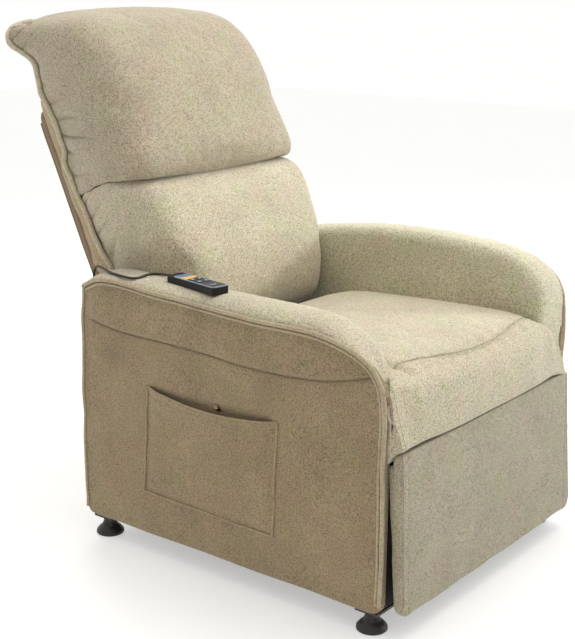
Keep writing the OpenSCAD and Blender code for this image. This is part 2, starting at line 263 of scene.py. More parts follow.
def join(name, objs):
    """One mesh of all the given ones, in plain mesh code."""
    v, f, m, mats = [], [], [], []
    off = 0
    for o in objs:
        me = o.data
        a = np.zeros(len(me.vertices) * 3)
        me.vertices.foreach_get("co", a)
        v.append(a.reshape(-1, 3))
        base = len(mats)
        mats += list(me.materials) or [None]
        for p in me.polygons:
            f.append([off + i for i in p.vertices])
            m.append(base + p.material_index)
        off += len(me.vertices)
    me = bpy.data.meshes.new(name)
    me.from_pydata(np.vstack(v).tolist(), [], f)
    uniq = []
    for x in mats:
        if x not in uniq:
            uniq.append(x)
    for x in uniq:
        if x is not None:
            me.materials.append(x)
    if len(uniq) > 1:
        me.polygons.foreach_set("material_index", [uniq.index(mats[i]) for i in m])
    me.polygons.foreach_set("use_smooth", [True] * len(me.polygons))
    me.update()
    o = bpy.data.objects.new(name, me)
    bpy.context.scene.collection.objects.link(o)
    for x in objs:
        old = x.data
        bpy.data.objects.remove(x, do_unlink=True)
        bpy.data.meshes.remove(old)
    return o


def weld(o, dist=0.05):
    bm = bmesh.new()
    bm.from_mesh(o.data)
    bmesh.ops.remove_doubles(bm, verts=bm.verts, dist=dist / 1000)
    bmesh.ops.recalc_face_normals(bm, faces=bm.faces)
    bm.to_mesh(o.data)
    bm.free()
    o.data.polygons.foreach_set("use_smooth", [True] * len(o.data.polygons))
    return o


def thicken(o, t, offset=-1.0):
    m = o.modifiers.new("shell", "SOLIDIFY")
    m.thickness = t / 1000
    m.offset = offset
    m.use_quality_normals = True
    return bake(o)


def subdiv(o, n=1):
    m = o.modifiers.new("sub", "SUBSURF")
    m.levels = m.render_levels = n
    return bake(o)


def rbox(name, lo, hi, r, seg=(8, 8, 8), bulge=(0, 0, 0)):
    """A soft box: rounded edges of radius r, each pair of faces crowned by bulge mm."""
    lo, hi = np.array(lo, float), np.array(hi, float)
    bm = bmesh.new()
    bmesh.ops.create_cube(bm, size=1.0)
    for ax in range(3):
        n = seg[ax]
        if n > 1:
            es = [e for e in bm.edges if abs((e.verts[0].co - e.verts[1].co)[ax]) > 1e-6
                  and abs((e.verts[0].co - e.verts[1].co)[(ax + 1) % 3]) < 1e-6 and abs((e.verts[0].co - e.verts[1].co)[(ax + 2) % 3]) < 1e-6]
            bmesh.ops.subdivide_edges(bm, edges=es, cuts=n - 1, use_grid_fill=True)
    me = bpy.data.meshes.new(name)
    bm.to_mesh(me)
    bm.free()
    a = np.array([v.co[:] for v in me.vertices])
    q = a * 2  # -1..1
    size = hi - lo
    # cluster the rows near the edges, so the rounding has points to use
    q = np.sign(q) * (1 - (1 - np.abs(q)) ** 1.6)
    c = q * size / 2
    inner = np.clip(c, -(size / 2 - r), size / 2 - r)
    d = c - inner
    n = np.linalg.norm(d, axis=1)
    mx = np.abs(d).max(1)
    s = np.where(n > 1e-9, np.minimum(mx, r) / np.maximum(n, 1e-9), 0)
    p = inner + d * s[:, None]
    t = np.clip(np.abs(p) / (size / 2), 0, 1)
    for ax in range(3):
        b, cc = (ax + 1) % 3, (ax + 2) % 3
        k = (1 - t[:, b] ** 2) * (1 - t[:, cc] ** 2)
        p[:, ax] += np.sign(p[:, ax]) * bulge[ax] * k * smoothstep(0.6, 1.0, t[:, ax])
    p += (hi + lo) / 2
    me.vertices.foreach_set("co", w2(p).ravel())
    me.update()
    o = bpy.data.objects.new(name, me)
    bpy.context.scene.collection.objects.link(o)
    me.polygons.foreach_set("use_smooth", [True] * len(me.polygons))
    return o


# ------------------------------------------------------------------ materials
def mat(name, base=(0.5, 0.5, 0.5), rough=0.6, metal=0.0, spec=0.5, sheen=0.0, sheen_rough=0.5, coat=0.0):
    m = bpy.data.materials.new(name)
    m.use_nodes = True
    nt = m.node_tree
    b = nt.nodes["Principled BSDF"]
    b.inputs["Base Color"].default_value = (*base, 1)
    b.inputs["Roughness"].default_value = rough
    b.inputs["Metallic"].default_value = metal
    b.inputs["Specular IOR Level"].default_value = spec
    b.inputs["Sheen Weight"].default_value = sheen
    b.inputs["Sheen Roughness"].default_value = sheen_rough
    b.inputs["Coat Weight"].default_value = coat
    m.diffuse_color = (*base, 1)
    return m, nt, b


def N(nt, kind, **kw):
    n = nt.nodes.new(kind)
    for k, v in kw.items():
        setattr(n, k, v)
    return n


def noise(nt, co, scale, detail=2.0, rough=0.5, dist=0.0):
    n = N(nt, "ShaderNodeTexNoise")
    n.inputs["Scale"].default_value = scale
    n.inputs["Detail"].default_value = detail
    n.inputs["Roughness"].default_value = rough
    n.inputs["Distortion"].default_value = dist
    nt.links.new(co, n.inputs["Vector"])
    return n.outputs["Fac"]


def ramp(nt, fac, stops, interp="LINEAR"):
    r = N(nt, "ShaderNodeValToRGB")
    r.color_ramp.interpolation = interp
    el = r.color_ramp.elements
    while len(el) > 1:
        el.remove(el[-1])
    el[0].position = stops[0][0]
    el[0].color = (*stops[0][1], 1) if not np.isscalar(stops[0][1]) else (stops[0][1],) * 3 + (1,)
    for p, c in stops[1:]:
        e = el.new(p)
        e.color = (*c, 1) if not np.isscalar(c) else (c,) * 3 + (1,)
    nt.links.new(fac, r.inputs["Fac"])
    return r.outputs["Color"]


def mix(nt, kind, fac, a, b):
    n = N(nt, "ShaderNodeMix", data_type="RGBA", blend_type=kind)
    for sock, val in ((n.inputs[0], fac), (n.inputs[6], a), (n.inputs[7], b)):
        if hasattr(val, "is_linked") or isinstance(val, bpy.types.NodeSocket):
            nt.links.new(val, sock)
        elif np.isscalar(val):
            sock.default_value = val if sock.type == "VALUE" else (val, val, val, 1)
        else:
            sock.default_value = (*val, 1)
    return n.outputs[2]


def math_(nt, op, a, b=0.0, clamp=False):
    n = N(nt, "ShaderNodeMath", operation=op, use_clamp=clamp)
    for sock, val in ((n.inputs[0], a), (n.inputs[1], b)):
        if isinstance(val, bpy.types.NodeSocket):
            nt.links.new(val, sock)
        else:
            sock.default_value = val
    return n.outputs[0]


def chenille(name, base, dark=0.46, light=1.20, patch=0.10, bump_mm=0.5, speck=1.0, tint=1.0):
    """Heathered chenille: soft warm, green and grey patches, a short pile weave and fine dark and pale flecks."""
    m, nt, b = mat(name, base, rough=0.95, spec=0.12, sheen=0.25, sheen_rough=0.55)
    tc = N(nt, "ShaderNodeTexCoord").outputs["Object"]
    # soft patches, 40 to 150 mm
    p1 = noise(nt, tc, 9.0, 3.0, 0.55)
    p2 = noise(nt, tc, 21.0, 2.0, 0.5, 0.4)
    mp = N(nt, "ShaderNodeMapping")
    mp.inputs["Location"].default_value = (3.1, 1.7, 5.3)
    nt.links.new(tc, mp.inputs["Vector"])
    p3 = noise(nt, mp.outputs[0], 14.0, 2.0, 0.5)
    col = ramp(nt, p1, [(0.30, tuple(c * (1 - patch) for c in base)), (0.5, base), (0.72, tuple(min(1, c * (1 + patch)) for c in base))])
    green = ramp(nt, p2, [(0.46, 0.0), (0.66, 0.55 * tint)])
    col = mix(nt, "MIX", green, col, tuple(c * k for c, k in zip(base, (0.93, 1.03, 0.84))))
    pink = ramp(nt, p3, [(0.48, 0.0), (0.68, 0.6 * tint)])
    col = mix(nt, "MIX", pink, col, tuple(c * k for c, k in zip(base, (1.03, 0.93, 0.95))))
    # yarn mottle at 6 to 10 mm, then flecks of a single tuft, 1.5 to 3 mm
    y1 = noise(nt, tc, 150.0, 2.0, 0.6)
    col = mix(nt, "MULTIPLY", 1.0, col, ramp(nt, y1, [(0.32, 0.90), (0.68, 1.08)]))
    f1 = noise(nt, tc, 330.0, 1.5, 0.6)
    f2 = noise(nt, mp.outputs[0], 430.0, 1.0, 0.5)
    dk = ramp(nt, f1, [(0.28, dark), (0.41, 0.45 * dark + 0.55), (0.48, 1.0), (0.58, 1.02), (0.72, light)])
    col = mix(nt, "MULTIPLY", speck, col, dk)
    dk2 = ramp(nt, f2, [(0.27, (dark * 0.9, dark * 0.8, dark * 0.62)), (0.38, (1.0, 1.0, 1.0)), (0.64, (1.0, 1.0, 1.0)), (0.75, (light, light, light * 0.98))])
    col = mix(nt, "MULTIPLY", 0.8 * speck, col, dk2)
    nt.links.new(col, b.inputs["Base Color"])
    # weave: short crossed ribs broken up by pile noise
    wv = N(nt, "ShaderNodeTexWave", wave_type="BANDS", bands_direction="DIAGONAL")
    wv.inputs["Scale"].default_value = 150.0
    wv.inputs["Distortion"].default_value = 6.0
    wv.inputs["Detail"].default_value = 2.0
    wv.inputs["Detail Scale"].default_value = 3.0
    nt.links.new(tc, wv.inputs["Vector"])
    h = math_(nt, "ADD", math_(nt, "MULTIPLY", f1, 1.0), math_(nt, "MULTIPLY", wv.outputs["Fac"], 0.35))
    h = math_(nt, "ADD", h, math_(nt, "MULTIPLY", y1, 0.8))
    bp = N(nt, "ShaderNodeBump")
    bp.inputs["Strength"].default_value = 0.75
    bp.inputs["Distance"].default_value = bump_mm / 1000
    nt.links.new(h, bp.inputs["Height"])
    nt.links.new(bp.outputs[0], b.inputs["Normal"])
    return m


def plain_weave(name, base, rough=0.9, bump_mm=0.3, scale=500.0, var=0.12, sheen=0.1):
    m, nt, b = mat(name, base, rough=rough, spec=0.15, sheen=sheen)
    tc = N(nt, "ShaderNodeTexCoord").outputs["Object"]
    a = noise(nt, tc, 12.0, 3.0)
    col = ramp(nt, a, [(0.3, tuple(c * (1 - var) for c in base)), (0.7, tuple(min(1, c * (1 + var)) for c in base))])
    f = noise(nt, tc, scale, 1.0, 0.6)
    col = mix(nt, "MULTIPLY", 1.0, col, ramp(nt, f, [(0.3, 0.72), (0.5, 1.0), (0.7, 1.15)]))
    nt.links.new(col, b.inputs["Base Color"])
    wx = N(nt, "ShaderNodeTexWave", wave_type="BANDS", bands_direction="Z")
    wx.inputs["Scale"].default_value = 260.0
    wx.inputs["Distortion"].default_value = 1.5
    nt.links.new(tc, wx.inputs["Vector"])
    h = math_(nt, "ADD", f, math_(nt, "MULTIPLY", wx.outputs["Fac"], 0.3))
    bp = N(nt, "ShaderNodeBump")
    bp.inputs["Strength"].default_value = 0.6
    bp.inputs["Distance"].default_value = bump_mm / 1000
    nt.links.new(h, bp.inputs["Height"])
    nt.links.new(bp.outputs[0], b.inputs["Normal"])
    return m


def hard(name, base, rough=0.5, metal=0.0, spec=0.5, grain=900.0, bump_mm=0.05, var=0.08, rvar=0.1, coat=0.0, wear=None):
    """Moulded, painted or metal surface: fine grain, patchy gloss and, where given, a paler worn tone."""
    m, nt, b = mat(name, base, rough=rough, metal=metal, spec=spec, coat=coat)
    tc = N(nt, "ShaderNodeTexCoord").outputs["Object"]
    a = noise(nt, tc, 18.0, 4.0, 0.6)
    col = ramp(nt, a, [(0.3, tuple(c * (1 - var) for c in base)), (0.7, tuple(min(1, c * (1 + var)) for c in base))])
    if wear:
        s = noise(nt, tc, 55.0, 5.0, 0.7)
        col = mix(nt, "MIX", ramp(nt, s, [(0.62, 0.0), (0.74, 0.7)]), col, wear)
    nt.links.new(col, b.inputs["Base Color"])
    r = N(nt, "ShaderNodeMapRange")
    r.inputs["To Min"].default_value = max(0.02, rough - rvar)
    r.inputs["To Max"].default_value = min(1.0, rough + rvar)
    nt.links.new(a, r.inputs["Value"])
    nt.links.new(r.outputs[0], b.inputs["Roughness"])
    g = noise(nt, tc, grain, 2.0, 0.6)
    bp = N(nt, "ShaderNodeBump")
    bp.inputs["Strength"].default_value = 0.5
    bp.inputs["Distance"].default_value = bump_mm / 1000
    nt.links.new(g, bp.inputs["Height"])
    nt.links.new(bp.outputs[0], b.inputs["Normal"])
    return m


def plywood(name, base):
    m, nt, b = mat(name, base, rough=0.7, spec=0.3)
    tc = N(nt, "ShaderNodeTexCoord").outputs["Object"]
    mp = N(nt, "ShaderNodeMapping")
    mp.inputs["Scale"].default_value = (1.0, 0.12, 1.0)
    nt.links.new(tc, mp.inputs["Vector"])
    a = noise(nt, mp.outputs[0], 60.0, 6.0, 0.65, 1.2)
    col = ramp(nt, a, [(0.3, tuple(c * 0.72 for c in base)), (0.5, base), (0.75, tuple(min(1, c * 1.2) for c in base))])
    nt.links.new(col, b.inputs["Base Color"])
    bp = N(nt, "ShaderNodeBump")
    bp.inputs["Strength"].default_value = 0.3
    bp.inputs["Distance"].default_value = 0.0002
    nt.links.new(a, bp.inputs["Height"])
    nt.links.new(bp.outputs[0], b.inputs["Normal"])
    return m


OAT = (0.535, 0.474, 0.350)
M = {
    "cushion_fabric": chenille("cushion_fabric", OAT),
    # the cushion fabric darkened for the headrest: painted shade, as the headrest sits in less light than the lumbar
    # pad
    "nap_head": chenille("cushion_fabric_painted_shade_head", tuple(c * k for c, k in zip(OAT, (0.83, 0.81, 0.80)))),
    # the cushion fabric darkened further for the leg rest: painted shade of the low front
    "nap_low": chenille("cushion_fabric_painted_shade_leg", tuple(c * k for c, k in zip(OAT, (0.72, 0.715, 0.70)))),
    # the cushion fabric paler and cooler for the far arm: painted light, as if lit by bounce off the seat
    "nap_far": chenille("cushion_fabric_painted_light_far_arm", tuple(min(1, c * k) for c, k in zip(OAT, (1.10, 1.16, 1.16)))),
    # the cover fabric is browner and darker than the cushion fabric: partly its own tone, partly painted shade of the
    # shaded side panels
    "cover_fabric": chenille("cover_fabric", (0.315, 0.240, 0.144), patch=0.15, dark=0.50, light=1.22),
    # dark colour for the side panel's curved seam: painted shade of the seam's fold
    "cover_seam": plain_weave("cover_seam", (0.175, 0.130, 0.080), scale=900.0, bump_mm=0.15),
    # the welt fabric darkened for the side panels' welts: painted shade of the shaded sides
    "piping_side": chenille("side_welt_fabric_painted_shade", (0.455, 0.375, 0.255), patch=0.08, speck=0.7),
    "pocket_edge": chenille("pocket_edge_fabric", (0.36, 0.28, 0.172), patch=0.08, speck=0.7),
    # welt fabric paler than the cushion fabric: a painted highlight along the welts
    "piping": chenille("welt_fabric", (0.585, 0.515, 0.385), patch=0.06, speck=0.7),
    # dark colour for seam tubes: painted shade of the seam grooves
    "seam_dark": plain_weave("seam_dark", (0.33, 0.275, 0.20), scale=900.0, bump_mm=0.15),
    "gusset": chenille("gusset_fabric", (0.455, 0.345, 0.215), speck=0.75, tint=0.6, patch=0.08),
    "back_fabric": plain_weave("back_fabric", (0.27, 0.20, 0.127), var=0.05),
    # near-black colour for the sheet across each arm's front below the roll, where the gap shows dark
    "lining": plain_weave("lining", (0.012, 0.011, 0.010), scale=700.0),
    "frame_steel": hard("frame_steel", (0.030, 0.030, 0.032), 0.42, 0.0, grain=1200.0, bump_mm=0.06, wear=(0.09, 0.085, 0.08)),
    "link_steel": hard("link_steel", (0.085, 0.085, 0.09), 0.38, 0.3, grain=1200.0, wear=(0.16, 0.15, 0.14)),
    "pin_steel": hard("pin_steel", (0.55, 0.54, 0.50), 0.3, 1.0, grain=600.0),
    "foot_black": hard("foot_black", (0.016, 0.014, 0.012), 0.46, grain=1500.0, bump_mm=0.08),
    "board": plywood("board", (0.50, 0.36, 0.21)),
    "actuator_plastic": hard("actuator_plastic", (0.018, 0.018, 0.019), 0.48, grain=1600.0, bump_mm=0.1),
    "motor_shell": hard("motor_shell", (0.055, 0.056, 0.06), 0.4, grain=1600.0, bump_mm=0.08),
    "rod_steel": hard("rod_steel", (0.72, 0.71, 0.70), 0.16, 1.0, grain=300.0, bump_mm=0.01, rvar=0.05),
    "handset_black": hard("handset_black", (0.008, 0.008, 0.009), 0.36, spec=0.22, grain=2200.0, bump_mm=0.05),
    "handset_navy": hard("handset_navy", (0.008, 0.016, 0.040), 0.30, spec=0.25, grain=2500.0, bump_mm=0.02, rvar=0.04),
    "key_grey": hard("key_grey", (0.055, 0.075, 0.11), 0.4, grain=2500.0, bump_mm=0.03),
    "cord_black": hard("cord_black", (0.013, 0.013, 0.014), 0.42, grain=900.0, bump_mm=0.05),
    "snap_brass": hard("snap_brass", (0.30, 0.225, 0.12), 0.30, 1.0, grain=400.0, bump_mm=0.02, wear=(0.10, 0.07, 0.04)),
    "band_blue": hard("band_blue", (0.115, 0.20, 0.30), 0.32, grain=2500.0, bump_mm=0.02),
    "band_orange": hard("band_orange", (0.80, 0.44, 0.12), 0.38, grain=2500.0, bump_mm=0.02),
    "mark_light": hard("mark_light", (0.62, 0.68, 0.72), 0.4, grain=2500.0, bump_mm=0.02),
    "trim_light": hard("trim_light", (0.40, 0.50, 0.58), 0.3, grain=2500.0, bump_mm=0.02),
    "thread": plain_weave("thread", (0.56, 0.50, 0.37), scale=900.0, bump_mm=0.15),
}


def paint(o, name):
    o.data.materials.clear()
    o.data.materials.append(M[name])
    return o


SLOT_OF = {s["node"]: s["material_slot"] for s in frame["record"]["subparts"]}
for _n, _o in NODES.items():
    _s = SLOT_OF.get(_n)
    if _s in M:
        for _k in range(len(_o.material_slots)):
            _o.material_slots[_k].material = M[_s]
        if not _o.material_slots:
            _o.data.materials.append(M[_s])


def done(o, body, repl=()):
    if repl:
        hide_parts(*repl)
    if body:
        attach(o, body)
    return o


# ------------------------------------------------------------------ camera and light
def camera():
    k = 0.92
    az, el, roll = math.radians(-52.3188), math.radians(15.0728), math.radians(0.5358)
    d = np.array([-math.sin(az) * math.cos(el), math.cos(az) * math.cos(el), -math.sin(el)])
    tgt = np.array([0, YS / 1000, 0.5083 * k])
    pos = tgt - d * 3.1445 * k
    right = np.cross(d, [0, 0, 1.0])
    right /= np.linalg.norm(right)
    up = np.cross(right, d)
    R = math.cos(roll) * right + math.sin(roll) * up
    U = -math.sin(roll) * right + math.cos(roll) * up
    c = bpy.data.cameras.new("cam")
    c.sensor_fit = "AUTO"
    c.sensor_width = c.sensor_height = 36.0
    c.lens = 1289.6863 / 639 * 36.0
    o = bpy.data.objects.new("cam", c)
    bpy.context.scene.collection.objects.link(o)
    m = Matrix([[R[0], U[0], -d[0], pos[0]], [R[1], U[1], -d[1], pos[1]], [R[2], U[2], -d[2], pos[2]], [0, 0, 0, 1]])
    o.matrix_world = m
    bpy.context.scene.camera = o


camera()


def area(name, loc, size, power, col=(1, 1, 1), target=(0, 0, 0.5), spread=180.0):
    l = bpy.data.lights.new(name, "AREA")
    l.spread = math.radians(spread)
    l.shape = "RECTANGLE"
    l.size, l.size_y = size
    l.energy = power
    l.color = col
    o = bpy.data.objects.new(name, l)
    o.location = loc
    o.rotation_euler = (Vector(target) - Vector(loc)).to_track_quat("-Z", "Y").to_euler()
    bpy.context.scene.collection.objects.link(o)


area("key", (1.7, -2.1, 3.5), (1.8, 1.8), 11, (1.0, 0.995, 0.97))
area("top", (0.4, -0.5, 3.4), (2.2, 2.2), 47, (1.0, 0.995, 0.975))
area("window", (2.5, -2.1, 1.5), (1.2, 0.45), 1.5, (0.93, 1.0, 1.0), (0.05, 0.0, 0.60), 24.0)
area("fill", (-3.4, -1.9, 1.9), (2.2, 1.8), 14, (1.0, 0.93, 0.84))
area("rim", (1.9, 2.8, 2.2), (1.6, 1.6), 40, (1.0, 0.94, 0.82))
# a studio brighter on its right than on its left
wd = bpy.data.worlds.new("studio")
bpy.context.scene.world = wd
wd.use_nodes = True
_w = wd.node_tree
_d = N(_w, "ShaderNodeVectorMath", operation="DOT_PRODUCT")
_d.inputs[1].default_value = (0.72, 0.50, 0.48)
_w.links.new(N(_w, "ShaderNodeTexCoord").outputs["Generated"], _d.inputs[0])
_m = N(_w, "ShaderNodeMapRange", interpolation_type="SMOOTHSTEP")
_m.inputs["From Min"].default_value = -0.75
_m.inputs["From Max"].default_value = 0.50
_w.links.new(_d.outputs["Value"], _m.inputs["Value"])
_w.links.new(ramp(_w, _m.outputs[0], [(0.0, (0.29, 0.275, 0.255)), (1.0, (1.0, 1.0, 0.995))]), _w.nodes["Background"].inputs[0])
_w.nodes["Background"].inputs[1].default_value = 1.0
bpy.context.scene.view_settings.view_transform = "Standard"
bpy.context.scene.view_settings.look = "None"

fl, fnt, fb = mat("floor", (0.60, 0.60, 0.597), rough=0.6, spec=0.2)
_tc = N(fnt, "ShaderNodeTexCoord").outputs["Object"]
fnt.links.new(ramp(fnt, noise(fnt, _tc, 3.0, 3.0), [(0.3, (0.59, 0.59, 0.587)), (0.7, (0.61, 0.61, 0.607))]), fb.inputs["Base Color"])
fb.inputs["Emission Color"].default_value = (1.0, 1.0, 0.99, 1)
fb.inputs["Emission Strength"].default_value = 0.42
floor = new_mesh("floor", [(-9000, -9000, 0), (9000, -9000, 0), (9000, 9000, 0), (-9000, 9000, 0)], [(0, 1, 2, 3)], False)
floor.data.materials.append(fl)

# ------------------------------------------------------------------ free handset lead
CORD = [(-289.5, 90.4, 607.55), (-285, 108, 605.6), (-281.5, 122, 603.8), (-283, 133, 603.2),
        (-292, 140, 603.1), (-307, 139.5, 603.1), (-323, 136.5, 603.1), (-336, 136.5, 603.1), (-343.5, 142, 603.1),
        (-346, 153, 603.1), (-345, 167, 603.1), (-342, 187, 603.1), (-338, 207, 603.1), (-332, 225, 603.1),
        (-325, 241, 603.1), (-318, 256, 603.1), (-313, 269, 603.1), (-309.5, 281, 602.4), (-307.5, 290, 597),
        (-306, 295.5, 587), (-305, 298, 573), (-304, 300, 557), (-303.5, 302, 541), (-303, 304, 525),
        (-303, 303.5, 512), (-303, 299, 503), (-303, 292, 499.4), (-303, 284.1, 499)]
cord_line = catmull(CORD, 150)
cord = paint(tube("handset_lead", cord_line, 2.75, sides=12, pre=True), "cord_black")
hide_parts("handset_cord")
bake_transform(cord)

# ------------------------------------------------------------------ soft kit
def half_oval(hw, n, m, R, F, nt, pull=8.0, wall=0.16):
    """Section of a cushion from its left rear seam over its front to its right rear seam."""
    th = np.linspace(0, math.pi, 321)
    x = -np.sign(np.cos(th)) * np.abs(np.cos(th)) ** (2.0 / n)
    w = np.abs(np.sin(th)) ** (2.0 / m)
    hx = hw - pull * np.exp(-w / wall)
    P = np.column_stack([x * hx, R[0] + w * (F[0] - R[0]), R[1] + w * (F[1] - R[1])])
    return resample(P, nt)


def path2(pts, n):
    p = catmull(np.column_stack([np.zeros(len(pts)), np.asarray(pts, float)]), n)
    return p[:, 1:]


def closed_from(name, front, rear):
    """Closed mesh from a front grid and a rear grid that share rows and both side edges."""
    nu, nv = front.shape[:2]
    v = np.vstack([front.reshape(-1, 3), rear.reshape(-1, 3)])
    f = grid_faces(nu, nv, 0) + grid_faces(nu, nv, nu * nv, flip=True)
    for j in range(nv - 1):  # first and last rows
        f.append((j, nu * nv + j, nu * nv + j + 1, j + 1))
        a = (nu - 1) * nv
        f.append((a + j, a + j + 1, nu * nv + a + j + 1, nu * nv + a + j))
    o = new_mesh(name, v, f)
    return weld(o, 0.05)


def push(o, amount):
    """Move each point along its normal, outward for positive amounts, in mm."""
    p, n = get_co(o), normals(o)
    set_co(o, p + n * np.asarray(amount)[:, None])


def seam_dist(p, line):
    """Distance of each point to a polyline and the length along it at the nearest place."""
    line = np.asarray(line, float)
    s = np.r_[0, np.cumsum(np.linalg.norm(np.diff(line, axis=0), axis=1))]
    best = np.full(len(p), 1e9)
    at = np.zeros(len(p))
    side = np.zeros((len(p), 3))
    for i in range(len(line) - 1):
        a, d = line[i], line[i + 1] - line[i]
        L = float(d @ d) + 1e-12
        t = np.clip(((p - a) @ d) / L, 0, 1)
        q = a + t[:, None] * d
        r = np.linalg.norm(p - q, axis=1)
        m = r < best
        best[m] = r[m]
        at[m] = s[i] + t[m] * math.sqrt(L)
        side[m] = (p - q)[m]
    return best, at, side


def puckers(p, line, step, depth, reach, seed, slant=0.0, keep=None):
    """Soft gathers that run out from a seam line; negative is inward, in mm."""
    d, at, _ = seam_dist(p, line)
    ph = at / step + slant * d / step
    w = 0.55 * np.sin(2 * math.pi * ph + 2.2 * vnoise(np.column_stack([at, at * 0, at * 0]), step * 1.9, seed))
    w = np.where(w > 0, w * 0.75, w * 1.35)
    amp = 0.45 + 0.75 * np.clip(vnoise(np.column_stack([at, at * 0, at * 0]), step * 2.6, seed + 5) + 0.45, 0, 1.3)
    fade = np.exp(-(d / reach) ** 1.6) * smoothstep(0.04 * reach, reach * 0.32, d)
    out = depth * w * amp * fade
    return out if keep is None else out * keep


def creases(p, line, step, depth, reach, seed, slant=0.0):
    """Narrow folds, each its own length, that run out from a gathered seam between soft ridges."""
    d, at, _ = seam_dist(p, line)
    a1 = np.column_stack([at, at * 0, at * 0])
    ph = (at + slant * d) / step + 0.45 * vnoise(a1, step * 2.1, seed)
    c = np.cos(2 * math.pi * ph)
    valley = np.clip(c, 0, 1) ** 6
    own = np.clip(0.62 + 0.75 * vnoise(a1, step * 1.2, seed + 5), 0.25, 1.25)
    R = reach * own
    fade = np.exp(-(d / R) ** 2) * smoothstep(5.0, 24.0, d)
    return depth * (0.30 * (1 - valley) * (0.4 + own) - 0.95 * valley * (0.35 + 0.75 * own)) * fade


def puff(o, voxel, pressure, cap, pin, seconds=20, stiff=12.0, shrink=0.0):
    """Swell a closed pad with a cloth run, its seams held, and keep each point within cap mm of its start."""
    r = o.modifiers.new("remesh", "REMESH")
    r.mode = "VOXEL"
    r.voxel_size = voxel / 1000
    bake(o)
    p0 = get_co(o)
    w = np.clip(pin(p0), 0, 1)
    vg = o.vertex_groups.new(name="held")
    for lvl in range(1, 21):
        idx = np.where((w > (lvl - 1) / 20 + 0.025) & (w <= lvl / 20 + 0.025))[0]
        if len(idx):
            vg.add([int(i) for i in idx], lvl / 20, "REPLACE")
    if shrink:
        set_co(o, p0 - normals(o) * (shrink * (1 - w))[:, None])
    c = o.modifiers.new("cloth", "CLOTH")
    st = c.settings
    st.quality = 5
    st.mass = 0.35
    st.air_damping = 2.0
    st.tension_stiffness = stiff
    st.compression_stiffness = stiff
    st.shear_stiffness = stiff * 0.4
    st.bending_stiffness = 0.6
    st.use_pressure = True
    st.uniform_pressure_force = pressure
    st.vertex_group_mass = "held"
    st.pin_stiffness = 1.0
    st.effector_weights.gravity = 0.0
    c.collision_settings.use_collision = False
    sc = bpy.context.scene
    sc.frame_start, sc.frame_end = 1, 40
    c.point_cache.frame_start, c.point_cache.frame_end = 1, 40
    for fr in range(1, seconds + 1):
        sc.frame_set(fr)
    bake(o)
    sc.frame_set(1)
    p1 = get_co(o)
    if len(p1) == len(p0):
        d = p1 - p0
        L = np.linalg.norm(d, axis=1)
        k = cap * np.tanh(L / cap) / np.maximum(L, 1e-9)
        set_co(o, p0 + d * k[:, None])
    return o


def relax(o, factor=0.5, n=3):
    m = o.modifiers.new("relax", "SMOOTH")
    m.factor, m.iterations = factor, n
    return bake(o)


def softness(o, seed, big=2.2, mid=1.1, small=0.35, mask=None):
    """Uneven filling: broad, hand-sized and finger-sized swells."""
    p = get_co(o)
    a = big * fbm(p, 150.0, seed, 2) + mid * fbm(p, 55.0, seed + 11, 2) + small * vnoise(p, 16.0, seed + 23)
    push(o, a if mask is None else a * mask)


# ------------------------------------------------------------------ back cushions
HF = path2([(250, 793), (205, 791), (178, 797), (169, 812), (175, 843), (217, 933), (252, 1009), (316, 1087), (376, 1121),
            (462, 1127), (538, 1116), (588, 1096)], 110)
HR = path2([(392, 735), (426, 799), (440, 845), (451, 881), (481, 930), (523, 994), (548, 1034), (570, 1068), (588, 1096)], 110)
NT = 121


def headrest():
    front, rear = [], []
    n_rows = len(HF)
    for i in range(n_rows):
        s = i / (n_rows - 1)
        k = smoothstep(0.42, 0.86, s)
        n, m = 8.5 - 2.6 * k, 6.0 - 1.7 * k
        rnd = max(0.0, (s - 0.915) / 0.085)
        hw = 280.0 + 7.0 * smoothstep(0.34, 0.12, s) - 14.0 * smoothstep(0.72, 1.0, s) - 24.0 * (1 - math.sqrt(max(0.0, 1 - rnd**2)))
        P = half_oval(hw, n, m, HR[i], HF[i], NT, pull=29.0 + 7.0 * smoothstep(0.34, 0.12, s) - 17.0 * smoothstep(0.70, 1.0, s), wall=0.26)
        q = P[:, 0] / hw
        arch = 13.0 * smoothstep(0.55, 1.0, s) * (1 - np.abs(q) ** 2.2)
        P[:, 2] += arch
        P[:, 1] += 6.0 * smoothstep(0.7, 1.0, s) * (1 - q**2)
        front.append(P)
        hs = abs(P[0, 0])
        x = np.linspace(-1, 1, NT)
        Q = np.column_stack([x * hs, np.full(NT, HR[i][0]), np.full(NT, HR[i][1])])
        Q[0], Q[-1] = P[0], P[-1]
        end = 1 - smoothstep(0.93, 1.0, s)
        crown = 17.0 * (1 - x**4) * end
        Q[1:-1, 1] += (crown * 0.9)[1:-1] + 6.0 * smoothstep(0.7, 1.0, s) * (1 - x**2)[1:-1]
        Q[1:-1, 2] += (-crown * 0.42)[1:-1] + (13.0 * smoothstep(0.55, 1.0, s) * (1 - np.abs(x) ** 2.2))[1:-1]
        if i == n_rows - 1:
            Q = P.copy()
        rear.append(Q)
    front, rear = np.array(front), np.array(rear)
    left, right, top = front[:, 0].copy(), front[:, -1].copy(), front[-1].copy()
    o = closed_from("headrest", front, rear)
    return o, left, right, top


def ear(p, sx):
    """How the rear top corner of the headrest stands out as a pinched lobe; sx is -1 or 1."""
    c = np.array([sx * 250.0, 572.0, 1072.0])
    r = np.linalg.norm((p - c) / np.array([60.0, 42.0, 46.0]), axis=1)
    k = np.exp(-(r**2) * 0.9)
    d = np.array([sx * 12.0, 15.0, 3.0])
    pinch = np.exp(-((np.linalg.norm((p - np.array([sx * 250.0, 532.0, 1020.0])) / np.array([60.0, 34.0, 26.0]), axis=1)) ** 2))
    gather = np.exp(-((np.linalg.norm((p - np.array([sx * 232.0, 545.0, 1106.0])) / np.array([34.0, 40.0, 30.0]), axis=1)) ** 2))
    return k[:, None] * d + pinch[:, None] * np.array([-sx * 9.0, -12.0, 5.0]) + gather[:, None] * np.array([-sx * 2.0, 0.0, -9.0])


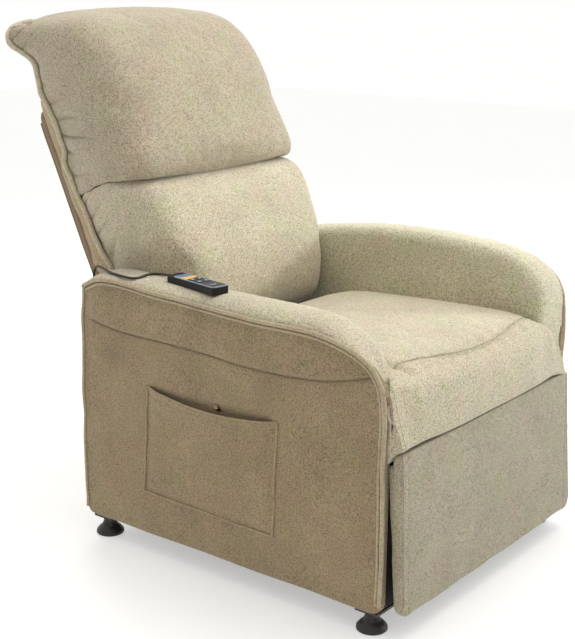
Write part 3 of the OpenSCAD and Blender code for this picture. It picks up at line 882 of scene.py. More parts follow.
def wave(line, amp, scale, seed, ends=30.0):
    """A seam line sewn by hand: it wanders a little and comes back to its ends."""
    s = np.r_[0, np.cumsum(np.linalg.norm(np.diff(line, axis=0), axis=1))]
    q = np.column_stack([s, s * 0, s * 0])
    k = smoothstep(0, ends, s) * smoothstep(0, ends, s[-1] - s)
    out = line.copy()
    out[:, 1] += amp * k * vnoise(q, scale, seed)
    out[:, 0] += 0.5 * amp * k * vnoise(q, scale * 0.8, seed + 3)
    out[:, 2] += 0.4 * amp * k * vnoise(q, scale * 0.9, seed + 6)
    return out


head, h_left, h_right, h_top = headrest()
LF_ = path2([(88, 458), (66, 492), (54, 570), (70, 638), (104, 692), (130, 740), (150, 768), (176, 786), (210, 793), (250, 795)], 100)
LR_ = path2([(296, 566), (305, 584), (338, 637), (366, 688), (392, 735)], 100)


def lumbar():
    front, rear = [], []
    n_rows = len(LF_)
    for i in range(n_rows):
        s = i / (n_rows - 1)
        up = smoothstep(0.30, 0.62, s)
        P = half_oval(252.0 + 31.0 * up, 9.5, 6.4, LR_[i], LF_[i], NT, pull=4.0 + 29.0 * up, wall=0.26)
        front.append(P)
        x = np.linspace(-1, 1, NT)
        Q = np.column_stack([x * abs(P[0, 0]), np.full(NT, LR_[i][0]), np.full(NT, LR_[i][1])])
        Q[0], Q[-1] = P[0], P[-1]
        rear.append(Q)
    front, rear = np.array(front), np.array(rear)
    o = closed_from("lumbar", front, rear)
    return o, front[:, 0].copy(), front[:, -1].copy()


lum, l_left, l_right = lumbar()

# the long welt: up one side of the back, round the headrest's top, down the other side
for _o in (head,):
    _p = get_co(_o)
    set_co(_o, _p + ear(_p, -1) + ear(_p, 1))
h_left, h_right, h_top = [a + ear(a, -1) + ear(a, 1) for a in (h_left, h_right, h_top)]
left_seam = np.vstack([l_left, h_left[4:]])
right_seam = np.vstack([l_right, h_right[4:]])
seam_path = np.vstack([left_seam, h_top[4:-4], right_seam[::-1]])
seam_path = resample(seam_path, 520)
for _i in range(6):
    seam_path[1:-1] = 0.5 * seam_path[1:-1] + 0.25 * (seam_path[:-2] + seam_path[2:])

def held_by(*lines, reach=26.0):
    def f(q):
        w = np.zeros(len(q))
        for ln in lines:
            d, _, _ = seam_dist(q, ln[::3])
            w = np.maximum(w, np.clip(1.25 - d / reach, 0, 1))
        return w
    return f


top_line = resample(h_top, 40)
puff(head, 6.0, 3.2, 9.0, lambda q: np.maximum(np.maximum(held_by(h_left, h_right, top_line)(q), 0.95 * smoothstep(875, 812, q[:, 2]) * smoothstep(185, 245, np.abs(q[:, 0])) * (q[:, 1] < 300)), smoothstep(330, 470, q[:, 1]) * (q[:, 2] < 1000) * 0.9), 18, shrink=1.5)
puff(lum, 6.0, 3.0, 8.0, lambda q: np.maximum(np.maximum(held_by(l_left, l_right)(q), 0.95 * smoothstep(690, 755, q[:, 2]) * smoothstep(185, 245, np.abs(q[:, 0])) * (q[:, 1] < 300)), 1 - smoothstep(470, 540, q[:, 2])), 18, shrink=1.5)
# gathers and hand marks
for _o in (head, lum):
    subdiv(_o, 1)
p = get_co(head)
g = creases(p, h_left[6:], 40.0, 6.0, 92.0, 5, 0.25) + creases(p, h_right[6:], 42.0, 6.0, 88.0, 17, 0.25)
g += creases(p, h_top, 52.0, 3.0, 50.0, 29)
bottom_line = np.column_stack([np.linspace(-252, 252, 40), np.full(40, 173.0), np.full(40, 806.0)])
g += puckers(p, bottom_line, 60.0, 1.8, 44.0, 41)
push(head, g)
p = get_co(lum)
g = creases(p, l_left, 44.0, 5.4, 84.0, 8, -0.2) + creases(p, l_right, 46.0, 5.4, 80.0, 21, -0.2)
push(lum, g)
softness(head, 3, 2.0, 1.3, 0.35)
softness(lum, 9, 1.8, 1.2, 0.3)
# the dart where the headrest's lower edge is sewn back to the side seam
p = get_co(head)
dart = np.array([[-262.0, 196.0, 796.0], [-270.0, 240.0, 788.0], [-270.0, 290.0, 775.0], [-262.0, 345.0, 755.0], [-250.0, 392.0, 735.0]])
for _sx in (1, -1):
    _d, _at, _ = seam_dist(p, dart * np.array([_sx, 1, 1]))
    push(head, -2.4 * np.exp(-(_d / 7.0) ** 2))
    _d2, _, _ = seam_dist(get_co(lum), dart * np.array([_sx, 1, 1]))
    push(lum, -1.0 * np.exp(-(_d2 / 7.0) ** 2))
    for _o in (head, lum):
        _q = get_co(_o)
        _r = np.linalg.norm(_q - np.array([_sx * 266.0, 206.0, 795.0]), axis=1)
        push(_o, -6.0 * np.exp(-(_r / 15.0) ** 2))
# keep the lumbar pad clear of the arms
p = get_co(lum)
low = 1 - smoothstep(600, 650, p[:, 2])
p[:, 0] = p[:, 0] * (1 - low) + np.clip(p[:, 0], -253.0, 253.0) * low
set_co(lum, p)
# the headrest takes the darkened copy of the cushion fabric, its painted shade
for _o in (head, lum):
    paint(_o, "nap_head" if _o is head else "cushion_fabric")
done(head, "backrest", ["headrest_cushion"])
done(lum, "backrest", ["lumbar_cushion"])

wavy = wave(seam_path, 4.5, 34.0, 4)
_sh = wavy - seam_path
for _o in (head, lum):
    _p = get_co(_o)
    _d, _at, _ = seam_dist(_p, seam_path[::2])
    _L = np.r_[0, np.cumsum(np.linalg.norm(np.diff(seam_path, axis=0), axis=1))]
    _k = np.exp(-(_d / 22.0) ** 2)[:, None]
    set_co(_o, _p + _k * np.column_stack([np.interp(_at, _L, _sh[:, i]) for i in range(3)]))
_side = smoothstep(205, 245, np.abs(wavy[:, 0]))
_low = smoothstep(560, 640, wavy[:, 2])
wavy[:, 0] += np.sign(wavy[:, 0]) * (3.0 + 6.0 * _low) * _side
wavy[:, 1] += -5.0 * _side + 3.0 * (1 - _side)
wavy[:, 2] += 3.5 * (1 - _side)
for _i in range(3):
    wavy[1:-1] = 0.5 * wavy[1:-1] + 0.25 * (wavy[:-2] + wavy[2:])
# the back welt takes the paler welt fabric, its painted highlight
welt = paint(tube("back_welt", wavy, 6.0, sides=10, pre=True, wob=0.08), "piping")
done(welt, "backrest")
GUS = path2([(344, 533), (370, 566), (389, 629), (430, 716), (466, 794), (500, 866), (513, 906)], 60)


def gusset(sx, edge):
    e = resample(edge[(edge[:, 2] > 560) & (edge[:, 2] < 955)], 60)
    rows = []
    for i in range(60):
        a = e[i]
        b = np.array([sx * 247.0, GUS[i][0] - 7.0, GUS[i][1] + 3.0])
        t = np.linspace(0, 1, 12)[:, None]
        q = a + (b - a) * t
        q[:, 0] += sx * 3.5 * np.sin(math.pi * t[:, 0])
        rows.append(q)
    o = grid("gusset_right" if sx < 0 else "gusset_left", np.array(rows), flip=sx > 0)
    push(o, 1.4 * vnoise(get_co(o), 38.0, 31))
    return thicken(o, 3.0)


for _sx, _e in ((-1, wavy[:260]), (1, wavy[:259:-1])):
    _g = paint(gusset(_sx, _e), "gusset")
    done(_g, "backrest")

# outer back: one tacked panel with a slight crown, rounded at its top
OB = path2([(326, 394), (327, 430), (329, 468), (344, 533), (389, 629), (466, 794), (505, 875), (513, 900), (508, 914), (494, 918), (470, 916)], 90)


def outer_back():
    rows = []
    x = np.linspace(-1, 1, 70)
    xx = np.sign(x) * (1 - (1 - np.abs(x)) ** 1.5)
    T = np.gradient(OB, axis=0)
    T /= np.linalg.norm(T, axis=1)[:, None]
    for i in range(len(OB)):
        s = i / (len(OB) - 1)
        nrm = np.array([T[i][1], -T[i][0]])
        off = 9.0 * (1 - np.abs(xx) ** 3) * smoothstep(0, 0.15, s) * (1 - smoothstep(0.82, 1.0, s)) - 5.0 * smoothstep(0.965, 1.0, np.abs(xx))
        row = np.column_stack([xx * 248.0, OB[i][0] + nrm[0] * off, OB[i][1] + nrm[1] * off])
        turn = [[sx * xo, OB[i][0] - nrm[0] * dn, OB[i][1] - nrm[1] * dn] for sx, xo, dn in ((-1, 249.0, 20.0), (-1, 250.0, 12.0), (-1, 249.6, 7.0))]
        back = [[-q[0], q[1], q[2]] for q in turn[::-1]]
        rows.append(np.vstack([turn, row, back]))
    o = grid("outer_back_cover", np.array(rows), flip=False)
    push(o, 1.2 * fbm(get_co(o), 90.0, 71, 2))
    return thicken(o, 4.0, 1.0)


ob = paint(outer_back(), "back_fabric")
done(ob, "backrest", ["outer_back"])
obl = []
for _sx in (-1, 1):
    ln = np.column_stack([np.full(70, _sx * 248.5), OB[10:80]]) + np.array([0, 1.0, 0])
    obl.append(tube("t", ln, 2.6, sides=8, pre=True))
_ow = paint(join("outer_back_welt", obl), "back_fabric")
done(_ow, "backrest")

# ------------------------------------------------------------------ arms and sides
R_O = [(277, 567), (266, 575), (226, 590), (166, 592), (81, 586), (-55, 580), (-184, 574), (-282, 575), (-351, 572), (-420, 556),
       (-465, 535), (-489, 505), (-497, 477), (-500, 440), (-500, 400), (-500, 300), (-500, 180), (-500, 66)]
R_C = [(274, 581), (263, 592), (226, 600), (166, 603), (81, 602), (-55, 601), (-184, 600), (-282, 599), (-343, 594), (-401, 575),
       (-432, 554), (-454, 526), (-466, 502), (-476, 468), (-482, 430), (-486, 320), (-486, 190), (-486, 66)]
R_I = [(272, 573), (261, 584), (226, 592), (166, 594), (81, 592), (-55, 590), (-184, 589), (-275, 586), (-325, 579), (-370, 560),
       (-398, 541), (-420, 513), (-434, 488), (-444, 455), (-449, 420), (-452, 310), (-452, 180), (-452, 66)]
R_B = [(276, 440), (266, 440), (226, 440), (166, 440), (81, 440), (-55, 440), (-184, 440), (-275, 440), (-325, 440), (-366, 440),
       (-392, 432), (-408, 420), (-420, 405), (-430, 385), (-436, 365), (-440, 300), (-440, 180), (-440, 66)]
L_O = [(277, 566), (266, 574), (226, 590), (166, 601), (81, 613), (-55, 625), (-184, 629), (-282, 626), (-354, 619), (-427, 601),
       (-470, 577), (-492, 545), (-499, 508), (-501, 470), (-501, 430), (-500, 300), (-500, 180), (-500, 66)]
L_C = [(274, 580), (263, 592), (226, 607), (166, 618), (81, 633), (-55, 649), (-184, 652), (-282, 648), (-354, 641), (-422, 627),
       (-462, 605), (-486, 576), (-495, 539), (-498, 490), (-498, 440), (-498, 300), (-498, 180), (-498, 66)]
L_I = [(272, 573), (261, 583), (226, 593), (166, 606), (81, 622), (-55, 638), (-184, 641), (-282, 637), (-350, 630), (-414, 616),
       (-452, 595), (-476, 567), (-488, 530), (-493, 485), (-493, 438), (-493, 300), (-493, 180), (-493, 66)]
L_B = [(276, 440), (266, 440), (226, 440), (166, 440), (81, 440), (-55, 440), (-184, 440), (-282, 440), (-340, 440), (-395, 440),
       (-432, 430), (-456, 420), (-470, 405), (-478, 385), (-482, 365), (-482, 300), (-482, 180), (-482, 66)]
NS, NX = 190, 54


def dense(pts, per=40):
    p = np.asarray(pts, float)
    q = np.vstack([2 * p[0] - p[1], p, 2 * p[-1] - p[-2]])
    t = np.linspace(0, 1, per, endpoint=False)[:, None]
    out = []
    for i in range(len(p) - 1):
        a, b, c, d = q[i:i + 4]
        out.append(0.5 * (2 * b + (c - a) * t + (2 * a - 5 * b + 4 * c - d) * t**2 + (3 * b - a - 3 * c + d) * t**3))
    out.append(p[-1:])
    return np.vstack(out)


def stations(*lists):
    """The four lines of an arm, sampled at matching places along the outer one."""
    D = [dense(q) for q in lists]
    L = np.concatenate([[0], np.cumsum(np.linalg.norm(np.diff(D[0], axis=0), axis=1))])
    k = np.interp(np.linspace(0, L[-1], NS), L, np.arange(len(L)))
    return [np.column_stack([np.interp(k, np.arange(len(d)), d[:, c]) for c in (0, 1)]) for d in D]


def arm_cover(name, sx, O, C, I, B, flat_z):
    O, C, I, B = stations(O, C, I, B)
    rows = []
    for i in range(NS):
        o, c, n, b = O[i], C[i], I[i], B[i]
        pts = [(355.5, *o), (352.5, *(o + 0.34 * (c - o))), (345, *(o + 0.62 * (c - o))), (330, *(o + 0.86 * (c - o))),
               (312, *(o + 0.97 * (c - o))), (298, *c), (281, *(c + 0.14 * (n - c))), (268, *(c + 0.42 * (n - c))),
               (258.5, *(n + 0.02 * (b - n))), (254.6, *(n + 0.13 * (b - n))), (253.4, *(n + 0.4 * (b - n))), (253.4, *b)]
        q = np.array(pts)
        q[:, 0] *= sx
        rows.append(resample(catmull(q, 120), NX))
    P = np.array(rows)
    last = int(np.argmax((O[:, 0] < -495) & (O[:, 1] < 366)))
    o = grid(name, P[:last], flip=sx < 0)
    bm = bmesh.new()
    bm.from_mesh(o.data)
    bm.normal_update()
    bm.to_mesh(o.data)
    bm.free()
    p = get_co(o)
    nn = normals(o)
    # outward is away from the arm's own middle
    mid = np.column_stack([np.full(len(p), sx * 305.0), np.clip(p[:, 1], -440, 240), np.clip(p[:, 2], 66, 520)])
    if np.mean(np.sum((p - mid) * nn, axis=1)) < 0:
        o.data.flip_normals()
        o.data.update()
    edge = P[:, 0]
    d, _, _ = seam_dist(p, edge[::2])
    k = smoothstep(4, 40, d)
    inner = smoothstep(262, 256, np.abs(p[:, 0]))
    a = 1.6 * fbm(p, 130.0, 51 + sx, 2) + 0.9 * fbm(p, 45.0, 57, 2) + 0.25 * vnoise(p, 15.0, 61)
    a = a * k * (1 - 0.85 * inner) + puckers(p, edge[:150:2], 58.0, 1.8, 30.0, 63)
    # where the handset and its lead lie, the pad is held to its set height
    push(o, a)
    if sx < 0:
        p = get_co(o)
        under = smoothstep(330, 300, p[:, 1]) * smoothstep(-130, -95, p[:, 1]) * smoothstep(254, 262, -p[:, 0])
        p[:, 2] = np.minimum(p[:, 2], flat_z * under + 2000 * (1 - under))
        set_co(o, p)
    return o, P, edge


arm_r, AR, edge_r = arm_cover("arm_right", -1, R_O, R_C, R_I, R_B, 600.15)
arm_l, AL, edge_l = arm_cover("arm_left", 1, L_O, L_C, L_I, L_B, 0)


for _sx, _tag, _A in ((-1, "right", AR), (1, "left", AL)):
    _line = _A[::3, -4].copy()
    _keep = (_line[:, 2] > 400) & (_line[:, 1] < 262)
    _line = _line[_keep]
    _line[:, 0] = _sx * 255.4
    _line[:, 2] = np.minimum(_line[:, 2] - 3.0, 552.0)
    rows = [np.column_stack([_line[:, 0], _line[:, 1] + (1 - t) * np.minimum(0, -488 - _line[:, 1]) * smoothstep(-300, -430, _line[:, 1]), 114 + (_line[:, 2] - 114) * t]) for t in np.linspace(0, 1, 40)]
    o = grid("inner_side_" + _tag, np.array(rows))
    if np.mean(normals(o)[:, 0]) * _sx > 0:
        o.data.flip_normals()
        o.data.update()
    paint(thicken(o, 2.5), "cover_fabric")
    done(o, "seat_frame", [_tag + "_inner_panel"])


def coons(A, B, C, D, nu, nv, flip=False):
    """Surface inside bottom A, top B, front C and rear D edge lines."""
    a, b = resample(A, nu), resample(B, nu)
    c, d = resample(C, nv), resample(D, nv)
    u = np.linspace(0, 1, nu)[:, None, None]
    v = np.linspace(0, 1, nv)[None, :, None]
    return ((1 - v) * a[:, None] + v * b[:, None] + (1 - u) * c[None] + u * d[None]
            - ((1 - u) * (1 - v) * a[0] + u * (1 - v) * a[-1] + (1 - u) * v * b[0] + u * v * b[-1]))


SEAM_SIDE = np.array([(262, 500), (170, 487), (58, 485), (-54, 483), (-158, 477), (-270, 477), (-376, 488), (-476, 514)], float)


def side_cover(name, sx, edge, pocket):
    cut = int(np.argmin(np.linalg.norm(edge[:, 1:] - np.array([-465, 535 if sx < 0 else 579]), axis=1)))
    top = catmull(edge[:cut + 1][::-1], 150)
    front = edge[cut:][::-1]
    x = sx * 355.5
    bottom = catmull([(x, -500, 66), (x, -497, 55), (x, -486, 47), (x, -440, 45.2), (x, -330, 47.0), (x, -200, 45.5), (x, -60, 47.2),
                      (x, 90, 45.6), (x, 200, 46.6), (x, 262, 46.0), (x, 279, 49), (x, 286, 60)], 200)
    rear = catmull([(x, 286, 60), (x, 288, 180), (x, 287, 320), (x, 284, 450), (x, 280, 530), tuple(edge[0])], 120)
    P = coons(bottom, top, front, rear, 230, 190)
    P[..., 0] = x
    q = P.reshape(-1, 3)
    rim = np.vstack([top, rear[::-1], bottom[::-1], front])
    d, _, _ = seam_dist(q, rim[::4])
    out = 2.6 * smoothstep(2, 60, d) - 1.6 * (1 - smoothstep(0, 9, d))
    out += 1.5 * fbm(q, 170.0, 81 + sx, 2) * smoothstep(0, 50, d) + 0.7 * fbm(q, 60.0, 85, 2) * smoothstep(0, 30, d) + 0.22 * vnoise(q, 17.0, 87)
    # the band above the curved seam stands a little proud of the panel below it
    sl = catmull(np.column_stack([np.full(len(SEAM_SIDE), x), SEAM_SIDE]), 90)
    ds, at, _ = seam_dist(q, sl[::2])
    zs = np.interp(q[:, 1], sl[::-1, 1], sl[::-1, 2])
    above = smoothstep(-2, 9, q[:, 2] - zs)
    inside = smoothstep(282, 240, q[:, 1])
    out += 4.6 * above * smoothstep(2, 34, d) * inside
    out += -1.5 * np.exp(-(ds / 3.2) ** 2) * inside
    out += puckers(q, top[::3], 62.0, 1.5, 34.0, 91) + puckers(q, bottom[::3], 74.0, 1.2, 40.0, 93)
    if pocket:
        well = smoothstep(-249, -232, q[:, 1]) * smoothstep(99, 82, q[:, 1]) * smoothstep(148, 168, q[:, 2]) * smoothstep(392, 362, q[:, 2])
        out = out * (1 - 0.6 * well) - 5.6 * well
    q = q.copy()
    q[:, 0] += sx * out
    P = q.reshape(P.shape)
    # the cloth turns under the bottom edge and behind the rear edge
    under = []
    for dx, dz in ((3.0, -1.4), (8.0, -2.2), (16.0, -1.2)):
        r = P[:, 0].copy()
        r[:, 0] -= sx * dx
        r[:, 2] += dz
        under.append(r)
    P = np.concatenate([np.array(under[::-1]).transpose(1, 0, 2), P], axis=1)
    o = grid(name, P, flip=sx > 0)
    if np.mean(normals(o)[:, 0]) * sx < 0:
        o.data.flip_normals()
        o.data.update()
    return o, top, front, rear, bottom, sl


side_r, top_r, front_r, rear_r, bot_r, seam_r = side_cover("side_right", -1, edge_r, True)
side_l, top_l, front_l, rear_l, bot_l, seam_l = side_cover("side_left", 1, edge_l, False)
for _o, _t in ((side_r, 4.0), (side_l, 4.0), (arm_r, 3.0), (arm_l, 3.0)):
    thicken(_o, _t)
for _o in (side_r, side_l):
    paint(_o, "cover_fabric")
paint(arm_r, "cushion_fabric")
# the far arm takes the paler copy of the cushion fabric, its painted light
paint(arm_l, "nap_far")
done(side_r, "seat_frame", ["right_side_padding"])
done(side_l, "seat_frame", ["left_side_panel"])
done(arm_r, "seat_frame", ["right_arm_pad"])
done(arm_l, "seat_frame", ["left_arm_pad"])


def welts(sx, top, front, rear, bottom, tag):
    """Main welt along the top and front edge, the flat ridge inside it, and the thin rear welt."""
    line = np.vstack([top[::-1], front[::-1][1:]])
    line = resample(line, 420)
    a = line.copy()
    a[:, 0] = sx * 357.5
    a = wave(a, 2.2, 60.0, 13 + sx, 40)
    a[:, 0] = sx * 357.5 + 0.5 * vnoise(a, 30.0, 7)
    T = np.gradient(line, axis=0)
    T /= np.linalg.norm(T, axis=1)[:, None]
    inw = np.column_stack([T[:, 0] * 0, T[:, 2], -T[:, 1]])
    c = np.array([0, -60.0, 300.0])
    sg = np.sign(np.sum((c - line) * inw, axis=1))[:, None]
    inw = inw * np.median(sg)
    b = line + inw * 9.5
    b[:, 0] = sx * 355.2
    b = wave(b, 1.8, 60.0, 13 + sx, 40)
    b[:, 0] = sx * 355.4
    r = resample(np.vstack([rear, ]), 150)
    r[:, 0] = sx * 356.0
    r = wave(r, 3.0, 55.0, 19 + sx, 30)
    r[:, 0] = sx * 356.0
    main = tube("m", a, 4.4, sides=10, pre=True, wob=0.08)
    ridge = tube("r", b, 3.4, sides=8, pre=True, wob=0.08)
    back = tube("b", r, 3.2, sides=8, pre=True, wob=0.08)
    o = join("welts_" + tag, [main, ridge, back])
    # the side welts take the darkened welt fabric, painted shade
    paint(o, "piping_side")
    return done(o, "seat_frame")


welts(-1, top_r, front_r, rear_r, bot_r, "right")
welts(1, top_l, front_l, rear_l, bot_l, "left")

# a near-black sheet across each arm's front below the roll, then the cover's return round the front edge
for _sx, _tag in ((-1, "right"), (1, "left")):
    rows = []
    for z in np.linspace(52, 484, 90):
        y = np.interp(z, [52, 400, 440, 470, 484], [-496, -496, -490, -478, -470])
        rows.append([(_sx * x, y - 1.2 * math.sin(z / 23.0 + x / 31.0), z) for x in np.linspace(352, 256, 24)])
    o = grid("arm_front_black_sheet_" + _tag, np.array(rows))
    if np.mean(normals(o)[:, 1]) > 0:
        o.data.flip_normals()
        o.data.update()
    paint(thicken(o, 2.0), "lining")
    done(o, "seat_frame", ["arm_front_boards"] if _sx < 0 else [])
    line = (front_r if _sx < 0 else front_l)
    line = line[line[:, 2] < 470]
    ret = np.array([line + np.array([-_sx * dx, dy, 0]) for dx, dy in ((-0.5, 0.5), (2.0, -1.0), (6.0, -1.2), (10.5, 0.2), (12.5, 4.5))]).transpose(1, 0, 2)
    o = grid("front_return_" + _tag, ret)
    paint(thicken(o, 1.6, 0.0), "cover_fabric")
    done(o, "seat_frame")

# ------------------------------------------------------------------ rear of the chair
for _sx, _tag, _E, _C, _I in ((-1, "right", R_O, R_C, R_I), (1, "left", L_O, L_C, L_I)):
    rows = []
    zt = {0: _E[0][1], 1: _C[0][1]}
    for t in np.linspace(0, 1, 70):
        cols = []
        for u in np.linspace(0, 1, 26):
            x = 354.5 + (256.5 - 354.5) * u
            ztop = np.interp(x, [256, 268, 298, 330, 345, 352, 356], [_I[0][1] - 8, _C[0][1] - 4, _C[0][1], _C[0][1] - 2, _C[0][1] - 6, _E[0][1] + 4, _E[0][1]])
            z = 58 + (ztop - 58) * t
            y = np.interp(z, [60, 180, 320, 450, 530, 570, 600], [285, 287, 286, 283, 279, 275, 270]) + 3.0 * (1 - (2 * u - 1) ** 4) * smoothstep(0, 0.04, t) * (1 - smoothstep(0.95, 1.0, t)) - 5.0 * smoothstep(0.955, 1.0, t)
            cols.append((_sx * x, y, z))
        rows.append(cols)
    o = grid("arm_rear_" + _tag, np.array(rows), flip=_sx > 0)
    if np.mean(normals(o)[:, 1]) < 0:
        o.data.flip_normals()
        o.data.update()
    push(o, 0.9 * fbm(get_co(o), 80.0, 101 + _sx, 2))
    paint(thicken(o, 3.0), "cover_fabric")
    done(o, "seat_frame", ["arm_rear_boards"] if _sx < 0 else [])
rows = []
for t in np.linspace(0, 1, 50):
    cols = []
    for u in np.linspace(-1, 1, 90):
        z = 58 + (372 - 58) * t
        y = 285.5 + 2.5 * (1 - u**4) * math.sin(math.pi * t) ** 0.4
        cols.append((u * 257.0, y, z))
    rows.append(cols)
rp = grid("rear_cover", np.array(rows))
if np.mean(normals(rp)[:, 1]) < 0:
    rp.data.flip_normals()
    rp.data.update()
push(rp, 1.0 * fbm(get_co(rp), 110.0, 111, 2))
paint(thicken(rp, 3.0), "cover_fabric")
done(rp, "seat_frame")

# a thin dark tube along each side seam, its dark colour painted shade of the fold
for _o, _sl, _sx, _tag in ((side_r, seam_r, -1, "right"), (side_l, seam_l, 1, "left")):
    _p = get_co(_o)
    _ln = resample(_sl[(_sl[:, 1] < 256) & (_sl[:, 1] > -480)], 220)
    _out = []
    for _q in _ln:
        _near = _p[(np.abs(_p[:, 1] - _q[1]) < 5) & (np.abs(_p[:, 2] - _q[2]) < 5)]
        _out.append([_sx * ((_near[:, 0] * _sx).max() if len(_near) else 358.0) - _sx * 1.0, _q[1], _q[2] - 1.0])
    _out = np.array(_out)
    for _i in range(10):
        _out[1:-1, 0] = 0.5 * _out[1:-1, 0] + 0.25 * (_out[:-2, 0] + _out[2:, 0])
    _t = paint(tube("side_seam_" + _tag, _out, 0.8, sides=6, pre=True), "cover_seam")
    done(_t, "seat_frame")

# ------------------------------------------------------------------ side pocket
PT = catmull([(0, -254, 379), (0, -215, 373.5), (0, -150, 366.5), (0, -90, 364), (0, -30, 366), (0, 40, 373.5), (0, 92, 381)], 90)
PB = catmull([(0, -244, 138), (0, -160, 138.5), (0, -60, 140.5), (0, 40, 142), (0, 106, 144)], 90)
PL = catmull([(0, -244, 138), (0, -246.5, 190), (0, -249, 260), (0, -252, 330), (0, -254, 379)], 70)
PR = catmull([(0, 106, 144), (0, 101, 200), (0, 97, 270), (0, 94, 330), (0, 92, 381)], 70)
PP = coons(PB, PT, PL, PR, 110, 90)
uu = np.linspace(0, 1, 110)[:, None]
vv = np.linspace(0, 1, 90)[None]
rim = np.minimum(np.minimum(uu, 1 - uu) * 350, vv * 240)
stand = 1.2 + 5.6 * smoothstep(0, 34, rim) + 6.4 * smoothstep(0.70, 1.0, vv) * np.sin(math.pi * uu) ** 0.8
stand = stand + 0.9 * np.exp(-((vv - 0.945) / 0.012) ** 2) * -1.0 + 0.9 * smoothstep(0.955, 0.97, vv)
PP[..., 0] = -(356.4 + stand)
q = PP.reshape(-1, 3)
q[:, 0] -= (0.9 * fbm(q, 70.0, 121, 2) + 0.2 * vnoise(q, 14.0, 123)) * smoothstep(0, 30, rim.repeat(1, axis=0)).ravel()
PP = q.reshape(PP.shape)
pocket = grid("pocket", PP)
if np.mean(normals(pocket)[:, 0]) > 0:
    pocket.data.flip_normals()
    pocket.data.update()
paint(thicken(pocket, 1.8), "cover_fabric")
done(pocket, "seat_frame", ["side_pocket"])
pw = np.vstack([PP[0, ::-1], PP[1:-1, 0], PP[-1]])
pw = resample(pw, 260)
pw[:, 0] = -(358.6 + 1.2 * smoothstep(0, 1, np.abs(pw[:, 0]) - 357))
pwelt = tube("w", wave(pw, 1.6, 45.0, 127, 20), 2.5, sides=8, pre=True, wob=0.1)
hem = PP[:, -1].copy()
hem[:, 0] += 0.9
hemt = tube("h", hem, 2.0, sides=8, pre=True, wob=0.08)
_o = paint(join("pocket_welt", [pwelt, hemt]), "pocket_edge")
done(_o, "seat_frame")


def lathe(name, prof, centre, axis, sides=32):
    """Turned shape: prof is (radius, distance along axis)."""
    axis = np.array(axis, float)
    axis /= np.linalg.norm(axis)
    u = np.cross(axis, [0, 0, 1.0])
    if np.linalg.norm(u) < 0.2:
        u = np.cross(axis, [0, 1.0, 0])
    u /= np.linalg.norm(u)
    w = np.cross(axis, u)
    k = np.arange(sides) * 2 * math.pi / sides
    rows = [np.array(centre) + h * axis + r * (np.cos(k)[:, None] * u + np.sin(k)[:, None] * w) for r, h in prof]
    o = grid(name, np.array(rows), cyc_v=True)
    weld(o, 0.02)
    return o


snap = lathe("s", [(0.01, 0), (9.2, 0), (10.2, 0.6), (10.2, 1.8), (9.2, 2.5), (7.0, 2.8), (6.5, 4.0), (6.7, 6.2), (6.2, 8.8), (5.2, 10.4), (3.2, 11.6), (0.01, 12.0)], (-350.4, -98, 376), (-1, 0, 0))
paint(snap, "snap_brass")
snap.name = "snap_stud"
done(snap, "seat_frame", ["pocket_snap"])

# ------------------------------------------------------------------ seat
SP = path2([(28, 464), (12, 481), (-20, 491), (-90, 499), (-200, 505), (-330, 509), (-420, 508), (-452, 505), (-482, 499), (-504, 487),
            (-519, 469), (-527, 445), (-531.5, 420), (-533, 400), (-532, 386), (-527, 378), (-516, 370), (-505, 354), (-499.5, 349), (-499, 362)], 230)
# the roll is flatter and leans back towards its ends
SE_Y = lambda z: np.interp(z, [350, 365, 380, 392, 428, 461, 473, 480, 490, 505], [-536, -536, -531, -525, -514, -504.5, -500.5, -499.8, -499.7, -499.7])
SF_Y = lambda z: np.interp(z, [350, 365, 380, 389, 430, 462, 480, 505], [-536, -536, -532, -529, -520, -512, -506, -501])
SEAM_I = int(np.argmin(np.abs(SP[:, 0] + 452) + (SP[:, 1] < 480) * 500))
HB = 253.0
N_REAR = int((SP[:, 0] > -437).sum())
N_TOP = int(((SP[:, 0] <= -437) & (SP[:, 0] > -499.6) & (SP[:, 1] > 400)).sum())
NEAR_END, FAR_END = 341.0, 318.0


